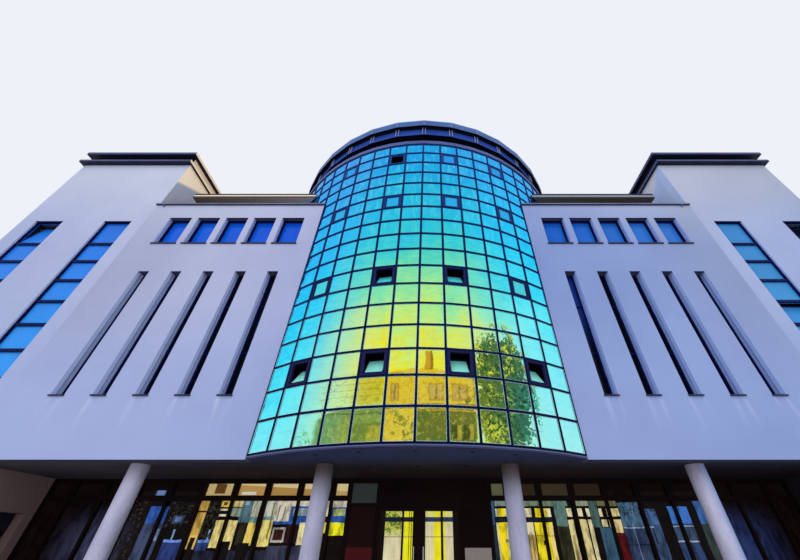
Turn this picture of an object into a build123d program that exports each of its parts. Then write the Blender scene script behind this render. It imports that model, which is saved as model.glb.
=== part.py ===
from build123d import *
from math import acos, ceil, cos, degrees, radians, sin
import os

os.makedirs("parts", exist_ok=True)

# A rendered city building with a faceted glass bow that rises into a drum, between two corner towers.
# Millimetres. +X to the right along the street front, +Y into the building, +Z up.
# The origin lies on the drum's axis at ground level.

# Glass bow and drum
bow_radius = 8602             # drum axis to the glass line, at a mullion
panes_round = 64              # flat panes in the full circle of the drum
bow_half_panes = 6            # panes each side of the centre line, between the front walls
bow_middle_panes = 2          # panes each side of the centre line in the frame's middle section
row_height = 822              # one row of panes
base_trim = 155               # the lowest row reaches this far below its grid line
foot_transom_drop = 43        # the lowest transom lies this far below its grid line
cap_width = 62                # mullion and transom caps, seen from outside
cap_projection = 30           # caps in front of the glass line
glass_thickness = 24
glass_joint = 10              # between the sheets of two storeys, behind a transom cap
kerb_width = 200              # kerb under the drum's glass, on the roof

# Bottom-hung windows of the bow, by pane row from the bottom and mullion line on their left
window_rows = (2, 6, 11, 15)
window_lines = (-5, -2, 1, 4)
open_windows = ((2, -5), (2, -2), (2, 1), (2, 4), (6, -2), (6, 1), (15, -2))
bow_window_stile = 95         # fixed frame inside the caps
bow_window_rail = 58
bow_window_step = 18          # fixed frame in front of the glass line
bow_window_depth = 60         # fixed frame behind the glass line
bow_sash_tilt = 32            # degrees, top inwards

# Sashes of the bow and of the towers
sash_clearance = 4
sash_bar = 36
sash_thickness = 40
sash_glass_thickness = 12

# Plan
front_wall_thickness = 400
side_wall_thickness = 300
rear_wall_thickness = 350
tower_width = 5860            # party wall's outer face to the tower's inner corner
tower_setback = 60            # tower fronts stand this far behind the main front
drum_to_rear = 1846           # drum's glass line to the rear face

# Storeys, as counts of pane rows
ground_slab = 120
slab_thickness = 226
first_floor_z = 3816          # floor level behind the lowest row of panes
rows_first = 4
rows_second = 5
rows_third = 4
rows_drum = 4

# Walls
parapet_height = 198          # main walls above the roof slab
tower_rise = 3738             # tower walls above the roof slab

# Tall slots in the front walls
slot_count = 5
slot_pitch = 1320
slot_first = 1288             # edge of the bow to the first slot's centre
slot_last = 1593              # last slot's centre to the tower's corner
slot_width = 432
slot_height = 5095
slot_sill_height = 1600       # over the first floor
slot_glass_setback = 350      # wall face to the glass
slot_frame_depth = 40
slot_bars = (1570, 3540)      # cross bars, over the slot's sill
slot_sill_overhang = 22

# Small windows over the slots
window_width = 1030
window_height = 1680
window_sill_height = 906      # over the third floor
window_glass_setback = 300
window_frame_depth = 110
window_bar = 60
window_sill_overhang = 40
sill_thickness = 40
sill_projection = 60

# Window strips in the towers
strip_margin = 694            # tower's corner to the nearer strip
strip_width = 1272
strip_sill_height = 1144      # over the first floor
strip_step = 1038             # transom to transom
strip_top_pane = 1415
strip_panes = 8
strip_setback = 70            # wall face to the frames
strip_frame_depth = 80
strip_bar = 110
open_strip_panes = ((-1, 1, 7), (1, 1, 7), (1, 0, 3))     # side, strip from the inner corner, pane from below
strip_sash_tilt = 14          # degrees, top inwards

# Loggia and shopfront
loggia_depth = 3250           # street face to the shopfront
shop_frame_depth = 110
shop_head = 140               # frame over the top lights
top_light_height = 360
shop_transom = 150
shop_sill = 120
shop_mullion = 100
top_light_gap = 212
shop_modules = 8
narrow_light = 620            # between the entrance's side panel and the first full bay
end_bay = 824                 # last mullion to the tower
column_count = 4
column_diameter = 500
column_pitch = 5480
column_setback = 750

# Entrance
leaf_opening = 1300
centre_post = 200
jamb = 80
leaf_opening_height = 2635
door_clearance = 6
door_thickness = 50
door_setback = 10             # shopfront plane to the face of a leaf
door_stile = 95
door_glass_thickness = 12
handle_diameter = 36
handle_length = 1100
handle_height = 1030          # floor to the middle of a handle
handle_standoff = 60
stay_diameter = 24
stay_inset = 110              # handle's end to its stay
over_panel_height = 245
over_panel_recess = 36
side_panel_width = 850
side_panel_stile = 70
side_panel_rail = 115
side_panel_thickness = 40
side_panel_setback = 20
hinge_radius = 12
hinge_standoff = 2            # between knuckle and shopfront plane
knuckle_length = 60
hinge_gap = 0.3               # between the knuckles of a hinge
hinge_plate = 45              # width of a hinge's plate on leaf or jamb
hinge_inset = 320             # leaf's end to its outer hinge

# Passages through the tower walls, beside the shopfront
passage_width = 1300
passage_height = 2430
passage_to_shop = 300

# Rear windows
rear_pitch = 2640
rear_per_side = 4
rear_sill_height = 1000       # floor to the sill

# Gutter on the main walls
gutter_height = 80
gutter_projection = 90
gutter_overrun = 30           # past the tower's corner
gutter_inset = 30             # edge of the bow to the gutter's end
bracket_width = 40
bracket_thickness = 30
bracket_drop = 170
bracket_inset = 390           # tower's corner to the bracket

# Tower cornices: two thin slabs with a recessed band between
cornice_front = 270
cornice_side = 130
cornice_slab = 150
cornice_band = 550
cornice_band_recess = 90
cornice_top_slab = 180

# Attic storey, set back behind the gutter
attic_setback = 1500          # street face to the attic wall
attic_overhang = 700
attic_gap = 540               # tower to the end of the eave
attic_end_overhang = 300
attic_wall_thickness = 250
attic_height = 2188           # roof slab to the eave's top
attic_eave_thickness = 330
drum_clearance = 5            # gutter, attic and kerb beside the drum's caps

# Crown of the drum; insets are from the glass line
ring_facets = 36
parapet_ring_height = 270
parapet_ring_width = 700
parapet_projection = 45
louvre_inset = 452
louvre_height = 960
band_inset = 202
band_height = 690
crown_wall = 140
band_sill_height = 60
band_sill_projection = 80
post_inset = 157
post_size = 50
post_spread = 150             # between the two posts at a corner
crown_overhang = 38
crown_fascia = 540
crown_roof_thickness = 250
crown_fascia_thickness = 120

# Levels and planes worked out from the sizes above
pane_angle = 360 / panes_round
half_pane = radians(pane_angle / 2)
bow_rows = rows_first + rows_second + rows_third + rows_drum
second_floor_z = first_floor_z + rows_first * row_height
third_floor_z = second_floor_z + rows_second * row_height
roof_z = third_floor_z + rows_third * row_height
glass_top = roof_z + rows_drum * row_height
glass_bottom = first_floor_z - base_trim
soffit_z = first_floor_z - slab_thickness
wall_top = roof_z + parapet_height
tower_wall_top = roof_z + tower_rise
slot_bottom = first_floor_z + slot_sill_height
slot_top = slot_bottom + slot_height
window_bottom = third_floor_z + window_sill_height
window_top = window_bottom + window_height
strip_bottom = first_floor_z + strip_sill_height
strip_top = strip_bottom + (strip_panes - 1) * strip_step + strip_top_pane
street_y = -bow_radius * cos(radians(bow_half_panes * pane_angle))
bow_edge_x = bow_radius * sin(radians(bow_half_panes * pane_angle))
slot_centres = [bow_edge_x + slot_first + slot_pitch * number for number in range(slot_count)]
tower_x = slot_centres[-1] + slot_last
half_width = tower_x + tower_width
strip_centres = (tower_x + strip_margin + strip_width / 2, half_width - strip_margin - strip_width / 2)
wall_back_y = street_y + front_wall_thickness
tower_y = street_y + tower_setback
tower_back_y = tower_y + front_wall_thickness
rear_y = bow_radius + drum_to_rear
rear_inside_y = rear_y - rear_wall_thickness
tower_room_x = tower_x + side_wall_thickness
party_inside_x = half_width - side_wall_thickness
shop_y = street_y + loggia_depth
parapet_ring_top = glass_top + parapet_ring_height
band_z = parapet_ring_top + louvre_height
crown_z = band_z + band_height
floor_tops = (ground_slab, first_floor_z, second_floor_z, third_floor_z, roof_z)


def put(part, name):
    part.part.label = name
    export_step(part.part, f"parts/{name}.step")


def corner(index, offset=0):
    """Plan point on mullion line index, at an offset from the glass line."""
    radius = bow_radius + offset / cos(half_pane)
    angle = radians(index * pane_angle)
    return (radius * sin(angle), -radius * cos(angle))


def strip_points(first, last, inner, outer):
    """Plan outline of a faceted strip between two mullion lines and two offsets."""
    outside = [corner(index, outer) for index in range(first, last + 1)]
    inside = [corner(index, inner) for index in range(last, first - 1, -1)]
    return outside + inside


def pane_place(index, z):
    """Centre of pane index on the glass line, turned so that its local -Y points outwards."""
    radius = bow_radius * cos(half_pane)
    angle = (index + 0.5) * pane_angle
    return Location((radius * sin(radians(angle)), -radius * cos(radians(angle)), z), (0, 0, angle))


def slab(points, bottom, top, mode=Mode.ADD):
    """Prism over a plan outline, inside the current part."""
    with BuildSketch(Plane.XY.offset(bottom)) as plan:
        with BuildLine():
            Polyline(*points, close=True)
        make_face()
    extrude(plan.sketch, amount=top - bottom, mode=mode)


def block(x0, x1, y0, y1, z0, z1, mode=Mode.ADD):
    """Upright block between two corners, inside the current part."""
    with Locations(((x0 + x1) / 2, (y0 + y1) / 2, (z0 + z1) / 2)):
        Box(abs(x1 - x0), abs(y1 - y0), abs(z1 - z0), mode=mode)


def cut_openings(centres, width, y0, y1, bottom, top):
    """Cuts one upright rectangular opening through the current wall at each X in centres."""
    with Locations(*[(x, (y0 + y1) / 2, (bottom + top) / 2) for x in centres]):
        Box(width, abs(y1 - y0), top - bottom, mode=Mode.SUBTRACT)


# Floors

main_front = [(-tower_x, wall_back_y), (-bow_edge_x, wall_back_y)]
main_front += [corner(index, -glass_thickness) for index in range(-bow_half_panes, bow_half_panes + 1)]
main_front += [(bow_edge_x, wall_back_y), (tower_x, wall_back_y)]
main_plan = main_front + [(tower_x, rear_inside_y), (-tower_x, rear_inside_y)]


def floor_plates(bottom, top):
    """One storey's slab: the hall with its bow, and a room in each tower."""
    slab(main_plan, bottom, top)
    for side in (-1, 1):
        block(side * tower_room_x, side * party_inside_x, tower_back_y, rear_inside_y, bottom, top)


with BuildPart() as ground_floor:
    block(-tower_x, tower_x, street_y, rear_inside_y, 0, ground_slab)
    for side in (-1, 1):
        block(side * tower_room_x, side * party_inside_x, tower_back_y, rear_inside_y, 0, ground_slab)
put(ground_floor, "ground_floor")

with BuildPart() as first_floor:
    floor_plates(soffit_z, first_floor_z)
put(first_floor, "first_floor")

with BuildPart() as upper_floors:
    for level in (second_floor_z, third_floor_z):
        floor_plates(level - slab_thickness, level)
put(upper_floors, "upper_floors")

with BuildPart() as roof_slab:
    floor_plates(roof_z - slab_thickness, roof_z)
put(roof_slab, "roof_slab")

with BuildPart() as roof_kerb:
    slab(strip_points(bow_half_panes, panes_round - bow_half_panes, -kerb_width, 0), roof_z, wall_top)
    block(-tower_x, tower_x, -bow_radius, wall_back_y, roof_z, wall_top, mode=Mode.SUBTRACT)
put(roof_kerb, "roof_kerb")

# Walls of the main part


def front_wall(side):
    with BuildPart() as wall:
        block(side * bow_edge_x, side * tower_x, street_y, wall_back_y, soffit_z, wall_top)
        centres = [side * x for x in slot_centres]
        cut_openings(centres, slot_width, street_y, wall_back_y, slot_bottom, slot_top)
        cut_openings(centres, window_width, street_y, wall_back_y, window_bottom, window_top)
    return wall


put(front_wall(-1), "front_wall_left")
put(front_wall(1), "front_wall_right")

rear_centres = [side * rear_pitch * (number + 0.5) for side in (-1, 1) for number in range(rear_per_side)]
rear_bottoms = [level + rear_sill_height for level in floor_tops[:-1]]

with BuildPart() as rear_wall:
    block(-tower_x, tower_x, rear_inside_y, rear_y, 0, wall_top)
    for bottom in rear_bottoms:
        cut_openings(rear_centres, window_width, rear_inside_y, rear_y, bottom, bottom + window_height)
put(rear_wall, "rear_wall")

# Walls of the towers


def tower_ends(near, far):
    """One end wall of each tower, inside the current part, with its window strips cut through."""
    for side in (-1, 1):
        block(side * tower_x, side * half_width, near, far, 0, tower_wall_top)
        cut_openings([side * x for x in strip_centres], strip_width, near, far, strip_bottom, strip_top)


with BuildPart() as tower_fronts:
    tower_ends(tower_y, tower_back_y)
put(tower_fronts, "tower_fronts")

with BuildPart() as tower_rear_walls:
    tower_ends(rear_inside_y, rear_y)
put(tower_rear_walls, "tower_rear_walls")

with BuildPart() as party_walls:
    for side in (-1, 1):
        block(side * party_inside_x, side * half_width, tower_back_y, rear_inside_y, 0, tower_wall_top)
put(party_walls, "party_walls")

passage_far = shop_y - passage_to_shop

with BuildPart() as tower_inner_walls:
    for side in (-1, 1):
        block(side * tower_x, side * tower_room_x, tower_back_y, rear_inside_y, 0, tower_wall_top)
        block(side * tower_x, side * tower_room_x, passage_far - passage_width, passage_far,
              ground_slab, ground_slab + passage_height, mode=Mode.SUBTRACT)
put(tower_inner_walls, "tower_inner_walls")

# Glass bow and drum

pane_width = 2 * bow_radius * sin(half_pane) - cap_width
pane_height = row_height - cap_width


def row_bounds(row):
    """Clear opening of pane row, between its transom caps."""
    low = glass_bottom + cap_width if row == 0 else first_floor_z + row * row_height + cap_width / 2
    high = first_floor_z + (row + 1) * row_height - cap_width / 2
    if row == 0:
        high -= foot_transom_drop
    if row == 1:
        low -= foot_transom_drop
    if row == bow_rows - 1:
        high -= cap_width / 2
    return low, high


def cut_panes(indices, bounds):
    """Clears panes of one height from the faceted strip in the current part."""
    low, high = bounds[0]
    with Locations(*[pane_place(index, (below + above) / 2) for index in indices for below, above in bounds]):
        Box(pane_width, 4 * cap_projection, high - low, mode=Mode.SUBTRACT)


def bow_frame(first, last):
    with BuildPart() as frame:
        slab(strip_points(first, last, 0, cap_projection), glass_bottom, glass_top)
        cut_panes(range(first, last), [row_bounds(0)])
        cut_panes(range(first, last), [row_bounds(1)])
        cut_panes(range(first, last), [row_bounds(row) for row in range(2, bow_rows - 1)])
        cut_panes(range(first, last), [row_bounds(bow_rows - 1)])
    return frame


put(bow_frame(-bow_half_panes, -bow_middle_panes), "bow_frame_left")
put(bow_frame(-bow_middle_panes, bow_middle_panes), "bow_frame_centre")
put(bow_frame(bow_middle_panes, bow_half_panes), "bow_frame_right")

attic_wall_y = street_y + attic_setback
attic_line = ceil(degrees(acos(-attic_wall_y / bow_radius)) / pane_angle)
behind_attic = range(attic_line, panes_round - attic_line)
beside_bow = [*range(bow_half_panes, attic_line),
              *range(panes_round - attic_line, panes_round - bow_half_panes)]
first_drum_row = bow_rows - rows_drum

with BuildPart() as drum_frame:
    slab(strip_points(bow_half_panes, panes_round - bow_half_panes, 0, cap_projection), wall_top, glass_top)
    cut_panes(beside_bow, [(wall_top + cap_width, row_bounds(first_drum_row)[1])])
    cut_panes(beside_bow, [row_bounds(row) for row in range(first_drum_row + 1, bow_rows - 1)])
    cut_panes(behind_attic, [(wall_top + cap_width, row_bounds(bow_rows - 2)[1])])
    cut_panes([*beside_bow, *behind_attic], [row_bounds(bow_rows - 1)])
put(drum_frame, "drum_frame")

storey_rows = (0, rows_first, rows_first + rows_second, rows_first + rows_second + rows_third, bow_rows)
bow_windows_at = [(row, line) for row in window_rows for line in window_lines]


def row_middle(row):
    return first_floor_z + (row + 0.5) * row_height


with BuildPart() as bow_glass:
    for low_row, high_row in zip(storey_rows, storey_rows[1:]):
        low = glass_bottom if low_row == 0 else first_floor_z + low_row * row_height + glass_joint / 2
        high = first_floor_z + high_row * row_height - glass_joint / 2
        slab(strip_points(-bow_half_panes, bow_half_panes, -glass_thickness, 0), low, high)
    with Locations(*[pane_place(line, row_middle(row)) for row, line in bow_windows_at]):
        Box(pane_width, 4 * glass_thickness, pane_height, mode=Mode.SUBTRACT)
put(bow_glass, "bow_glass")

with BuildPart() as drum_glass:
    slab(strip_points(bow_half_panes, panes_round - bow_half_panes, -glass_thickness, 0),
         wall_top, glass_top - glass_joint / 2)
put(drum_glass, "drum_glass")

with BuildPart() as bow_base:
    slab(strip_points(-bow_half_panes, bow_half_panes, -glass_thickness, cap_projection),
         soffit_z, glass_bottom)
put(bow_base, "bow_base")

with BuildPart() as bow_window_frames:
    with Locations(*[pane_place(line, row_middle(row)) for row, line in bow_windows_at]):
        with Locations((0, (bow_window_depth - bow_window_step) / 2, 0)):
            Box(pane_width, bow_window_depth + bow_window_step, pane_height)
            Box(pane_width - 2 * bow_window_stile, bow_window_depth + bow_window_step,
                pane_height - 2 * bow_window_rail, mode=Mode.SUBTRACT)
put(bow_window_frames, "bow_window_frames")

# Crown of the drum


def ring(radius, width, bottom, top, facets):
    """Faceted ring, its corners on the given radius, with a corner on the centre line."""
    with BuildSketch(Plane.XY.offset(bottom)) as plan:
        RegularPolygon(radius, facets, rotation=-90)
        RegularPolygon(radius - width, facets, rotation=-90, mode=Mode.SUBTRACT)
    extrude(plan.sketch, amount=top - bottom)


with BuildPart() as drum_parapet:
    ring(bow_radius + parapet_projection, parapet_ring_width, glass_top, parapet_ring_top, panes_round)
put(drum_parapet, "drum_parapet")

with BuildPart() as drum_louvre:
    ring(bow_radius - louvre_inset, crown_wall, parapet_ring_top, band_z, ring_facets)
put(drum_louvre, "drum_louvre")

band_radius = bow_radius - band_inset
band_inner_radius = bow_radius - louvre_inset - crown_wall
sill_top = band_z + band_sill_height

with BuildPart() as drum_band:
    ring(band_radius, band_radius - band_inner_radius, band_z, crown_z, ring_facets)
    ring(band_radius + band_sill_projection, band_sill_projection, band_z, sill_top, ring_facets)
put(drum_band, "drum_band")

with BuildPart() as drum_posts:
    for number in range(ring_facets):
        with Locations(Location((0, 0, (sill_top + crown_z) / 2), (0, 0, number * 360 / ring_facets))):
            with Locations(*[(side * post_spread / 2, post_inset - bow_radius) for side in (-1, 1)]):
                Box(post_size, post_size, crown_z - sill_top)
put(drum_posts, "drum_posts")

crown_radius = bow_radius + crown_overhang

with BuildPart() as drum_roof:
    with BuildSketch(Plane.XY.offset(crown_z)):
        RegularPolygon(crown_radius - crown_fascia_thickness, ring_facets, rotation=-90)
    extrude(amount=crown_roof_thickness)
put(drum_roof, "drum_roof")

with BuildPart() as drum_fascia:
    ring(crown_radius, crown_fascia_thickness, crown_z, crown_z + crown_fascia, ring_facets)
put(drum_fascia, "drum_fascia")

# Tower cornices

cornice_outline = (tower_x - cornice_side, half_width + cornice_side,
                   tower_y - cornice_front, rear_y + cornice_front)
band_outline = (tower_x + cornice_band_recess, half_width - cornice_band_recess,
                tower_y + cornice_band_recess, rear_y - cornice_band_recess)
band_bottom = tower_wall_top + cornice_slab
band_top = band_bottom + cornice_band


def tower_block(side, outline, bottom, top, mode=Mode.ADD):
    near, far, front, back = outline
    block(side * near, side * far, front, back, bottom, top, mode=mode)


with BuildPart() as tower_cornices:
    for side in (-1, 1):
        tower_block(side, cornice_outline, tower_wall_top, band_bottom)
        tower_block(side, band_outline, band_bottom, band_top)
        tower_block(side, (tower_room_x, party_inside_x, tower_back_y, rear_inside_y),
                    band_bottom, band_top, mode=Mode.SUBTRACT)
        tower_block(side, cornice_outline, band_top, band_top + cornice_top_slab)
put(tower_cornices, "tower_cornices")

# Gutters, with a slanting bracket near each tower

gutter_face_y = street_y - gutter_projection
bracket_foot = wall_top - bracket_drop
bracket_profile = [(gutter_face_y, wall_top), (gutter_face_y + bracket_thickness, wall_top),
                   (street_y, bracket_foot + bracket_thickness), (street_y, bracket_foot)]

with BuildPart() as gutter:
    for side in (-1, 1):
        block(side * (bow_edge_x + gutter_inset), side * tower_x, gutter_face_y, wall_back_y,
              wall_top, wall_top + gutter_height)
        block(side * tower_x, side * (tower_x + gutter_overrun), gutter_face_y, tower_y,
              wall_top, wall_top + gutter_height)
        with BuildSketch(Plane.YZ.offset(side * (tower_x - bracket_inset))) as profile:
            with BuildLine():
                Polyline(*bracket_profile, close=True)
            make_face()
        extrude(profile.sketch, amount=bracket_width / 2, both=True)
    slab(strip_points(bow_half_panes, panes_round - bow_half_panes,
                      -kerb_width, cap_projection + drum_clearance),
         wall_top, wall_top + gutter_height, mode=Mode.SUBTRACT)
    block(-tower_x, tower_x, rear_inside_y, rear_y + gutter_projection, wall_top, wall_top + gutter_height)
put(gutter, "gutter")

# Attic

attic_end = tower_x - attic_gap
attic_wall_x = attic_end - attic_end_overhang
attic_room_x = attic_wall_x - attic_wall_thickness
attic_rear_y = rear_y - attic_setback
attic_eave_top = roof_z + attic_height
attic_ceiling = attic_eave_top - attic_eave_thickness
drum_room = [corner(index, cap_projection + drum_clearance) for index in range(panes_round)]

with BuildPart() as attic_walls:
    block(-attic_wall_x, attic_wall_x, attic_wall_y, attic_rear_y, roof_z, attic_ceiling)
    block(-attic_room_x, attic_room_x,
          attic_wall_y + attic_wall_thickness, attic_rear_y - attic_wall_thickness,
          roof_z, attic_ceiling, mode=Mode.SUBTRACT)
    slab(drum_room, roof_z, attic_ceiling, mode=Mode.SUBTRACT)
put(attic_walls, "attic_walls")

with BuildPart() as attic_roof:
    block(-attic_end, attic_end, attic_wall_y - attic_overhang, attic_rear_y + attic_overhang,
          attic_ceiling, attic_eave_top)
    slab(drum_room, attic_ceiling, attic_eave_top, mode=Mode.SUBTRACT)
put(attic_roof, "attic_roof")

# Windows of the walls


def clear_panes(bottom, top, bars=(), bar=window_bar):
    """Lower and upper edges of the panes between a frame's ends and its cross bars."""
    lows = [bottom + window_bar] + [level + bar / 2 for level in bars]
    highs = [level - bar / 2 for level in bars] + [top - window_bar]
    return list(zip(lows, highs))


def window_frames(centres, y, depth, width, bottom, top, bars=(), bar=window_bar):
    """Rectangular frames at each X, from y inwards, with cross bars at the given levels."""
    with Locations(*[(x, y + depth / 2, (bottom + top) / 2) for x in centres]):
        Box(width, depth, top - bottom)
    for low, high in clear_panes(bottom, top, bars, bar):
        cut_openings(centres, width - 2 * window_bar, y, y + depth, low, high)


def sheets(centres, y, width, bottom, top):
    """Panes of glass at each X, their street face at y."""
    with Locations(*[(x, y + glass_thickness / 2, (bottom + top) / 2) for x in centres]):
        Box(width, glass_thickness, top - bottom)


both_strips = [side * x for side in (-1, 1) for x in strip_centres]
strip_bars = [strip_bottom + strip_step * number for number in range(1, strip_panes)]
strip_clear = clear_panes(strip_bottom, strip_top, strip_bars, strip_bar)
strip_face_y = tower_y + strip_setback
strip_glass_y = strip_face_y + strip_frame_depth
strip_rear_y = rear_y - strip_setback - strip_frame_depth
front_centres = [side * x for side in (-1, 1) for x in slot_centres]
slot_glass_y = street_y + slot_glass_setback
slot_levels = [slot_bottom + level for level in slot_bars]
window_glass_y = street_y + window_glass_setback
rear_frame_y = rear_y - window_glass_setback

with BuildPart() as front_window_frames:
    window_frames(front_centres, slot_glass_y - slot_frame_depth, slot_frame_depth, slot_width,
                  slot_bottom, slot_top, slot_levels)
    window_frames(front_centres, window_glass_y - window_frame_depth, window_frame_depth, window_width,
                  window_bottom, window_top)
put(front_window_frames, "front_window_frames")

with BuildPart() as front_window_glass:
    sheets(front_centres, slot_glass_y, slot_width, slot_bottom, slot_top)
    sheets(front_centres, window_glass_y, window_width, window_bottom, window_top)
put(front_window_glass, "front_window_glass")

with BuildPart() as sills:
    for centre in front_centres:
        for reach, level in ((slot_width / 2 + slot_sill_overhang, slot_bottom),
                             (window_width / 2 + window_sill_overhang, window_bottom)):
            block(centre - reach, centre + reach, street_y - sill_projection, street_y,
                  level - sill_thickness, level)
put(sills, "sills")

with BuildPart() as strip_frames:
    for face_y in (strip_face_y, strip_rear_y):
        window_frames(both_strips, face_y, strip_frame_depth, strip_width, strip_bottom, strip_top,
                      strip_bars, strip_bar)
put(strip_frames, "strip_frames")

strip_opening = strip_width - 2 * window_bar

with BuildPart() as strip_glass:
    sheets(both_strips, strip_glass_y, strip_width, strip_bottom, strip_top)
    sheets(both_strips, strip_rear_y - glass_thickness, strip_width, strip_bottom, strip_top)
    for side, strip, pane in open_strip_panes:
        cut_openings([side * strip_centres[strip]], strip_opening, strip_glass_y,
                     strip_glass_y + glass_thickness, *strip_clear[pane])
put(strip_glass, "strip_glass")

with BuildPart() as rear_window_frames:
    for bottom in rear_bottoms:
        window_frames(rear_centres, rear_frame_y, window_frame_depth, window_width,
                      bottom, bottom + window_height)
put(rear_window_frames, "rear_window_frames")

with BuildPart() as rear_window_glass:
    for bottom in rear_bottoms:
        sheets(rear_centres, rear_frame_y - glass_thickness, window_width, bottom, bottom + window_height)
put(rear_window_glass, "rear_window_glass")

# Sashes: all those of the bow, and the open ones of the towers

sash_places = []
for row, line in bow_windows_at:
    tilt = bow_sash_tilt if (row, line) in open_windows else 0
    foot = Location((0, sash_thickness, bow_window_rail - pane_height / 2), (-tilt, 0, 0))
    sash_places.append((pane_place(line, row_middle(row)) * foot,
                        pane_width - 2 * bow_window_stile, pane_height - 2 * bow_window_rail))
for side, strip, pane in open_strip_panes:
    low, high = strip_clear[pane]
    foot = Location((side * strip_centres[strip], strip_face_y + strip_frame_depth, low),
                    (-strip_sash_tilt, 0, 0))
    sash_places.append((foot, strip_opening, high - low))

with BuildPart() as sashes:
    for place, width, height in sash_places:
        sash_width, sash_height = width - 2 * sash_clearance, height - sash_clearance
        with Locations(place * Location((0, -sash_thickness / 2, sash_height / 2))):
            Box(sash_width, sash_thickness, sash_height)
            Box(sash_width - 2 * sash_bar, sash_thickness, sash_height - 2 * sash_bar, mode=Mode.SUBTRACT)
put(sashes, "sashes")

with BuildPart() as sash_glass:
    for place, width, height in sash_places:
        sash_width, sash_height = width - 2 * sash_clearance, height - sash_clearance
        with Locations(place * Location((0, -sash_thickness / 2, sash_height / 2))):
            Box(sash_width - 2 * sash_bar, sash_glass_thickness, sash_height - 2 * sash_bar)
put(sash_glass, "sash_glass")

# Loggia: columns and shopfront

with BuildPart() as columns:
    for number in range(column_count):
        column_x = (number - (column_count - 1) / 2) * column_pitch
        with Locations((column_x, street_y + column_setback, (ground_slab + soffit_z) / 2)):
            Cylinder(column_diameter / 2, soffit_z - ground_slab)
put(columns, "columns")

door_opening_half = centre_post / 2 + leaf_opening
entrance_edge = door_opening_half + jamb
shop_inner_edge = entrance_edge + side_panel_width + side_panel_stile
shop_back_y = shop_y + shop_frame_depth
head_z = soffit_z - shop_head
top_light_bottom = head_z - top_light_height
pane_top = top_light_bottom - shop_transom
pane_bottom = ground_slab + shop_sill
first_line = shop_inner_edge + narrow_light
shop_module = (tower_x - end_bay - first_line) / shop_modules
shop_lines = [first_line + shop_module * number for number in range(shop_modules + 1)]
shop_lines = [shop_inner_edge, *shop_lines, tower_x]

with BuildPart() as shopfront_frames:
    for side in (-1, 1):
        block(side * shop_inner_edge, side * tower_x, shop_y, shop_back_y, ground_slab, soffit_z)
        for near, far in zip(shop_lines, shop_lines[1:]):
            block(side * (near + shop_mullion / 2), side * (far - shop_mullion / 2), shop_y, shop_back_y,
                  pane_bottom, pane_top, mode=Mode.SUBTRACT)
            block(side * (near + top_light_gap / 2), side * (far - top_light_gap / 2), shop_y, shop_back_y,
                  top_light_bottom, head_z, mode=Mode.SUBTRACT)
put(shopfront_frames, "shopfront_frames")

with BuildPart() as shopfront_glass:
    for side in (-1, 1):
        block(side * shop_inner_edge, side * tower_x, shop_back_y, shop_back_y + glass_thickness,
              ground_slab, soffit_z)
put(shopfront_glass, "shopfront_glass")

# Entrance

door_head_z = ground_slab + leaf_opening_height
leaf_near = centre_post / 2 + door_clearance
leaf_far = door_opening_half - door_clearance
leaf_bottom = ground_slab + door_clearance
leaf_top = door_head_z - door_clearance
leaf_y = shop_y + door_setback
door_glass_y = leaf_y + (door_thickness - door_glass_thickness) / 2
hinge_x = door_opening_half - door_clearance / 2
hinge_y = shop_y - hinge_radius - hinge_standoff
hinge_heights = (leaf_bottom + hinge_inset, (leaf_bottom + leaf_top) / 2, leaf_top - hinge_inset)
panel_bounds = ((pane_bottom, door_head_z), (door_head_z + side_panel_rail, head_z))


def knuckle(side, bottom, plate_x, face_y):
    """Hinge knuckle on the hinge line, with the plate that holds it to a face."""
    with Locations((side * hinge_x, hinge_y, bottom + knuckle_length / 2)):
        Cylinder(hinge_radius, knuckle_length)
    block(side * hinge_x, side * plate_x, hinge_y - hinge_radius / 2, hinge_y + hinge_radius / 2,
          bottom, bottom + knuckle_length)
    block(side * (hinge_x + plate_x) / 2, side * plate_x, hinge_y, face_y, bottom, bottom + knuckle_length)


with BuildPart() as entrance_frame:
    block(-shop_inner_edge, shop_inner_edge, shop_y, shop_back_y, ground_slab, soffit_z)
    for side in (-1, 1):
        block(side * centre_post / 2, side * door_opening_half, shop_y, shop_back_y,
              ground_slab, door_head_z, mode=Mode.SUBTRACT)
        block(side * centre_post / 2, side * door_opening_half, shop_y, shop_y + over_panel_recess,
              head_z - over_panel_height, head_z, mode=Mode.SUBTRACT)
        for low, high in panel_bounds:
            block(side * entrance_edge, side * (entrance_edge + side_panel_width), shop_y, shop_back_y,
                  low, high, mode=Mode.SUBTRACT)
        for height in hinge_heights:
            knuckle(side, height - knuckle_length - hinge_gap, hinge_x + hinge_plate, shop_y)
put(entrance_frame, "entrance_frame")

with BuildPart() as entrance_panels:
    for side in (-1, 1):
        for low, high in panel_bounds:
            block(side * entrance_edge, side * (entrance_edge + side_panel_width), shop_y + side_panel_setback,
                  shop_y + side_panel_setback + side_panel_thickness, low, high)
put(entrance_panels, "entrance_panels")


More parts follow.
